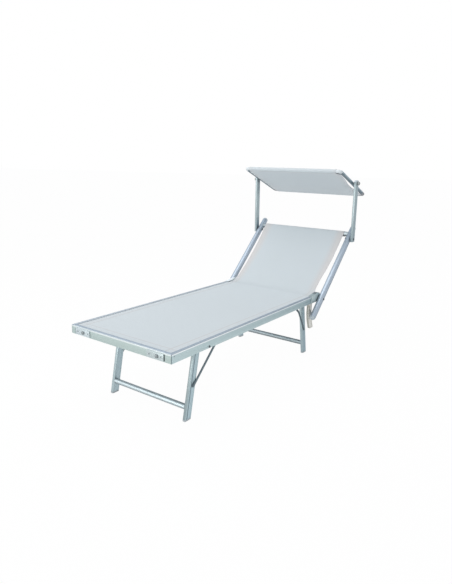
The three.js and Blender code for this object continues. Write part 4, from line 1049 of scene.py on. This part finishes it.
def seenRays(tree):
    # camera, glossy and transmission rays see the background itself
    path = addNode(tree, "ShaderNodeLightPath")
    total = plus(tree, path.outputs["Is Camera Ray"], path.outputs["Is Glossy Ray"], clamp=True)
    return plus(tree, total, path.outputs["Is Transmission Ray"], clamp=True)


def skyTones(tree):
    # a white wall, a cool band where the wall meets the ceiling, and a pale ceiling
    up = axesOf(tree, addNode(tree, "ShaderNodeTexCoord").outputs["Generated"])["Z"]
    return toneRamp(tree, up, studio["wallTones"])


def mixShaders(tree, factor, first, second, output):
    mix = addNode(tree, "ShaderNodeMixShader")
    for slot, socket in enumerate((factor, first.outputs[0], second.outputs[0])):
        tree.links.new(socket, mix.inputs[slot])
    tree.links.new(mix.outputs[0], tree.nodes[output].inputs["Surface"])


def makeStudio():
    bpy.ops.object.select_all(action="DESELECT")
    bpy.ops.mesh.primitive_plane_add(size=2 * studio["floor"], location=(0, 0, 0))
    floor = bpy.context.object
    floor.name = "floor"
    material, tree, shader = newMaterial("floorPaper")
    setInputs(shader, {"Base Color": (*studio["floorColour"], 1), "Roughness": studio["floorRough"]})
    glow = addNode(tree, "ShaderNodeEmission", None, {"Color": (1, 1, 1, 1), "Strength": 1.0})
    mixShaders(tree, times(tree, seenRays(tree), studio["lift"]), shader, glow, "Material Output")
    floor.data.materials.append(material)

    world = bpy.data.worlds.new("studioSky")
    bpy.context.scene.world = world
    world.use_nodes = True
    tree = world.node_tree
    background = tree.nodes["Background"]
    setInputs(background, {"Color": (*studio["skyColour"], 1), "Strength": studio["sky"]})
    white = addNode(tree, "ShaderNodeBackground", None, {"Strength": 1.0})
    path = addNode(tree, "ShaderNodeLightPath")
    tones = mixColours(tree, path.outputs["Is Camera Ray"], skyTones(tree), (1, 1, 1, 1))
    tree.links.new(tones, white.inputs["Color"])
    mixShaders(tree, seenRays(tree), background, white, "World Output")


softBoxes = [
    {"name": "overheadBox", "place": (-0.6, -0.6, 3.2), "aim": (0.0, 0.0, 0.3), "size": 2.6, "power": 30.0},
    {"name": "leftBox", "place": (-2.4, -3.0, 2.2), "aim": (0.0, -0.2, 0.4), "size": 2.2, "power": 22.0},
    {"name": "lowBox", "place": (-0.6, -3.6, 0.5), "aim": (0.0, 0.6, 0.9), "size": 1.4, "power": 22.0},
]

# a grey card that only the metal's reflections see, on the floor to the right and behind
reflectionCard = {"lowX": 0.1, "highX": 3.4, "lowY": -1.3, "highY": 3.4, "lift": 0.001, "near": 0.97,
                  "far": 0.72, "fadeFrom": -0.3, "fadeTo": 0.9, "colour": (0.94, 0.98, 1.0)}


def makeCard():
    c = reflectionCard
    bpy.ops.object.select_all(action="DESELECT")
    bpy.ops.mesh.primitive_plane_add(size=1.0)
    card = bpy.context.object
    card.name = "reflectionCard"
    for vertex in card.data.vertices:
        x, y = vertex.co.x, vertex.co.y
        vertex.co = (c["lowX"] if x < 0 else c["highX"], c["lowY"] if y < 0 else c["highY"], c["lift"])
    material, tree, shader = newMaterial("cardGrey")
    along = axesOf(tree, addNode(tree, "ShaderNodeTexCoord").outputs["Object"])["Y"]
    fade = rangeMask(tree, along, c["fadeFrom"], c["fadeTo"])
    glow = addNode(tree, "ShaderNodeEmission", None, {"Color": (*c["colour"], 1)})
    tree.links.new(plus(tree, c["near"], times(tree, fade, c["far"] - c["near"])), glow.inputs["Strength"])
    tree.links.new(glow.outputs[0], tree.nodes["Material Output"].inputs["Surface"])
    card.data.materials.append(material)
    card.visible_camera = card.visible_diffuse = card.visible_transmission = card.visible_shadow = False


def makeLights():
    for box in softBoxes:
        data = bpy.data.lights.new(box["name"], "AREA")
        data.shape = "SQUARE"
        data.size = box["size"]
        data.energy = box["power"]
        lamp = addObject(box["name"], data)
        lamp.location = box["place"]
        lamp.rotation_euler = (Vector(box["aim"]) - Vector(box["place"])).to_track_quat("-Z", "Y").to_euler()


makeStudio()
makeCard()
makeLights()
bpy.context.scene.view_settings.view_transform = "Standard"
print("studio lit")
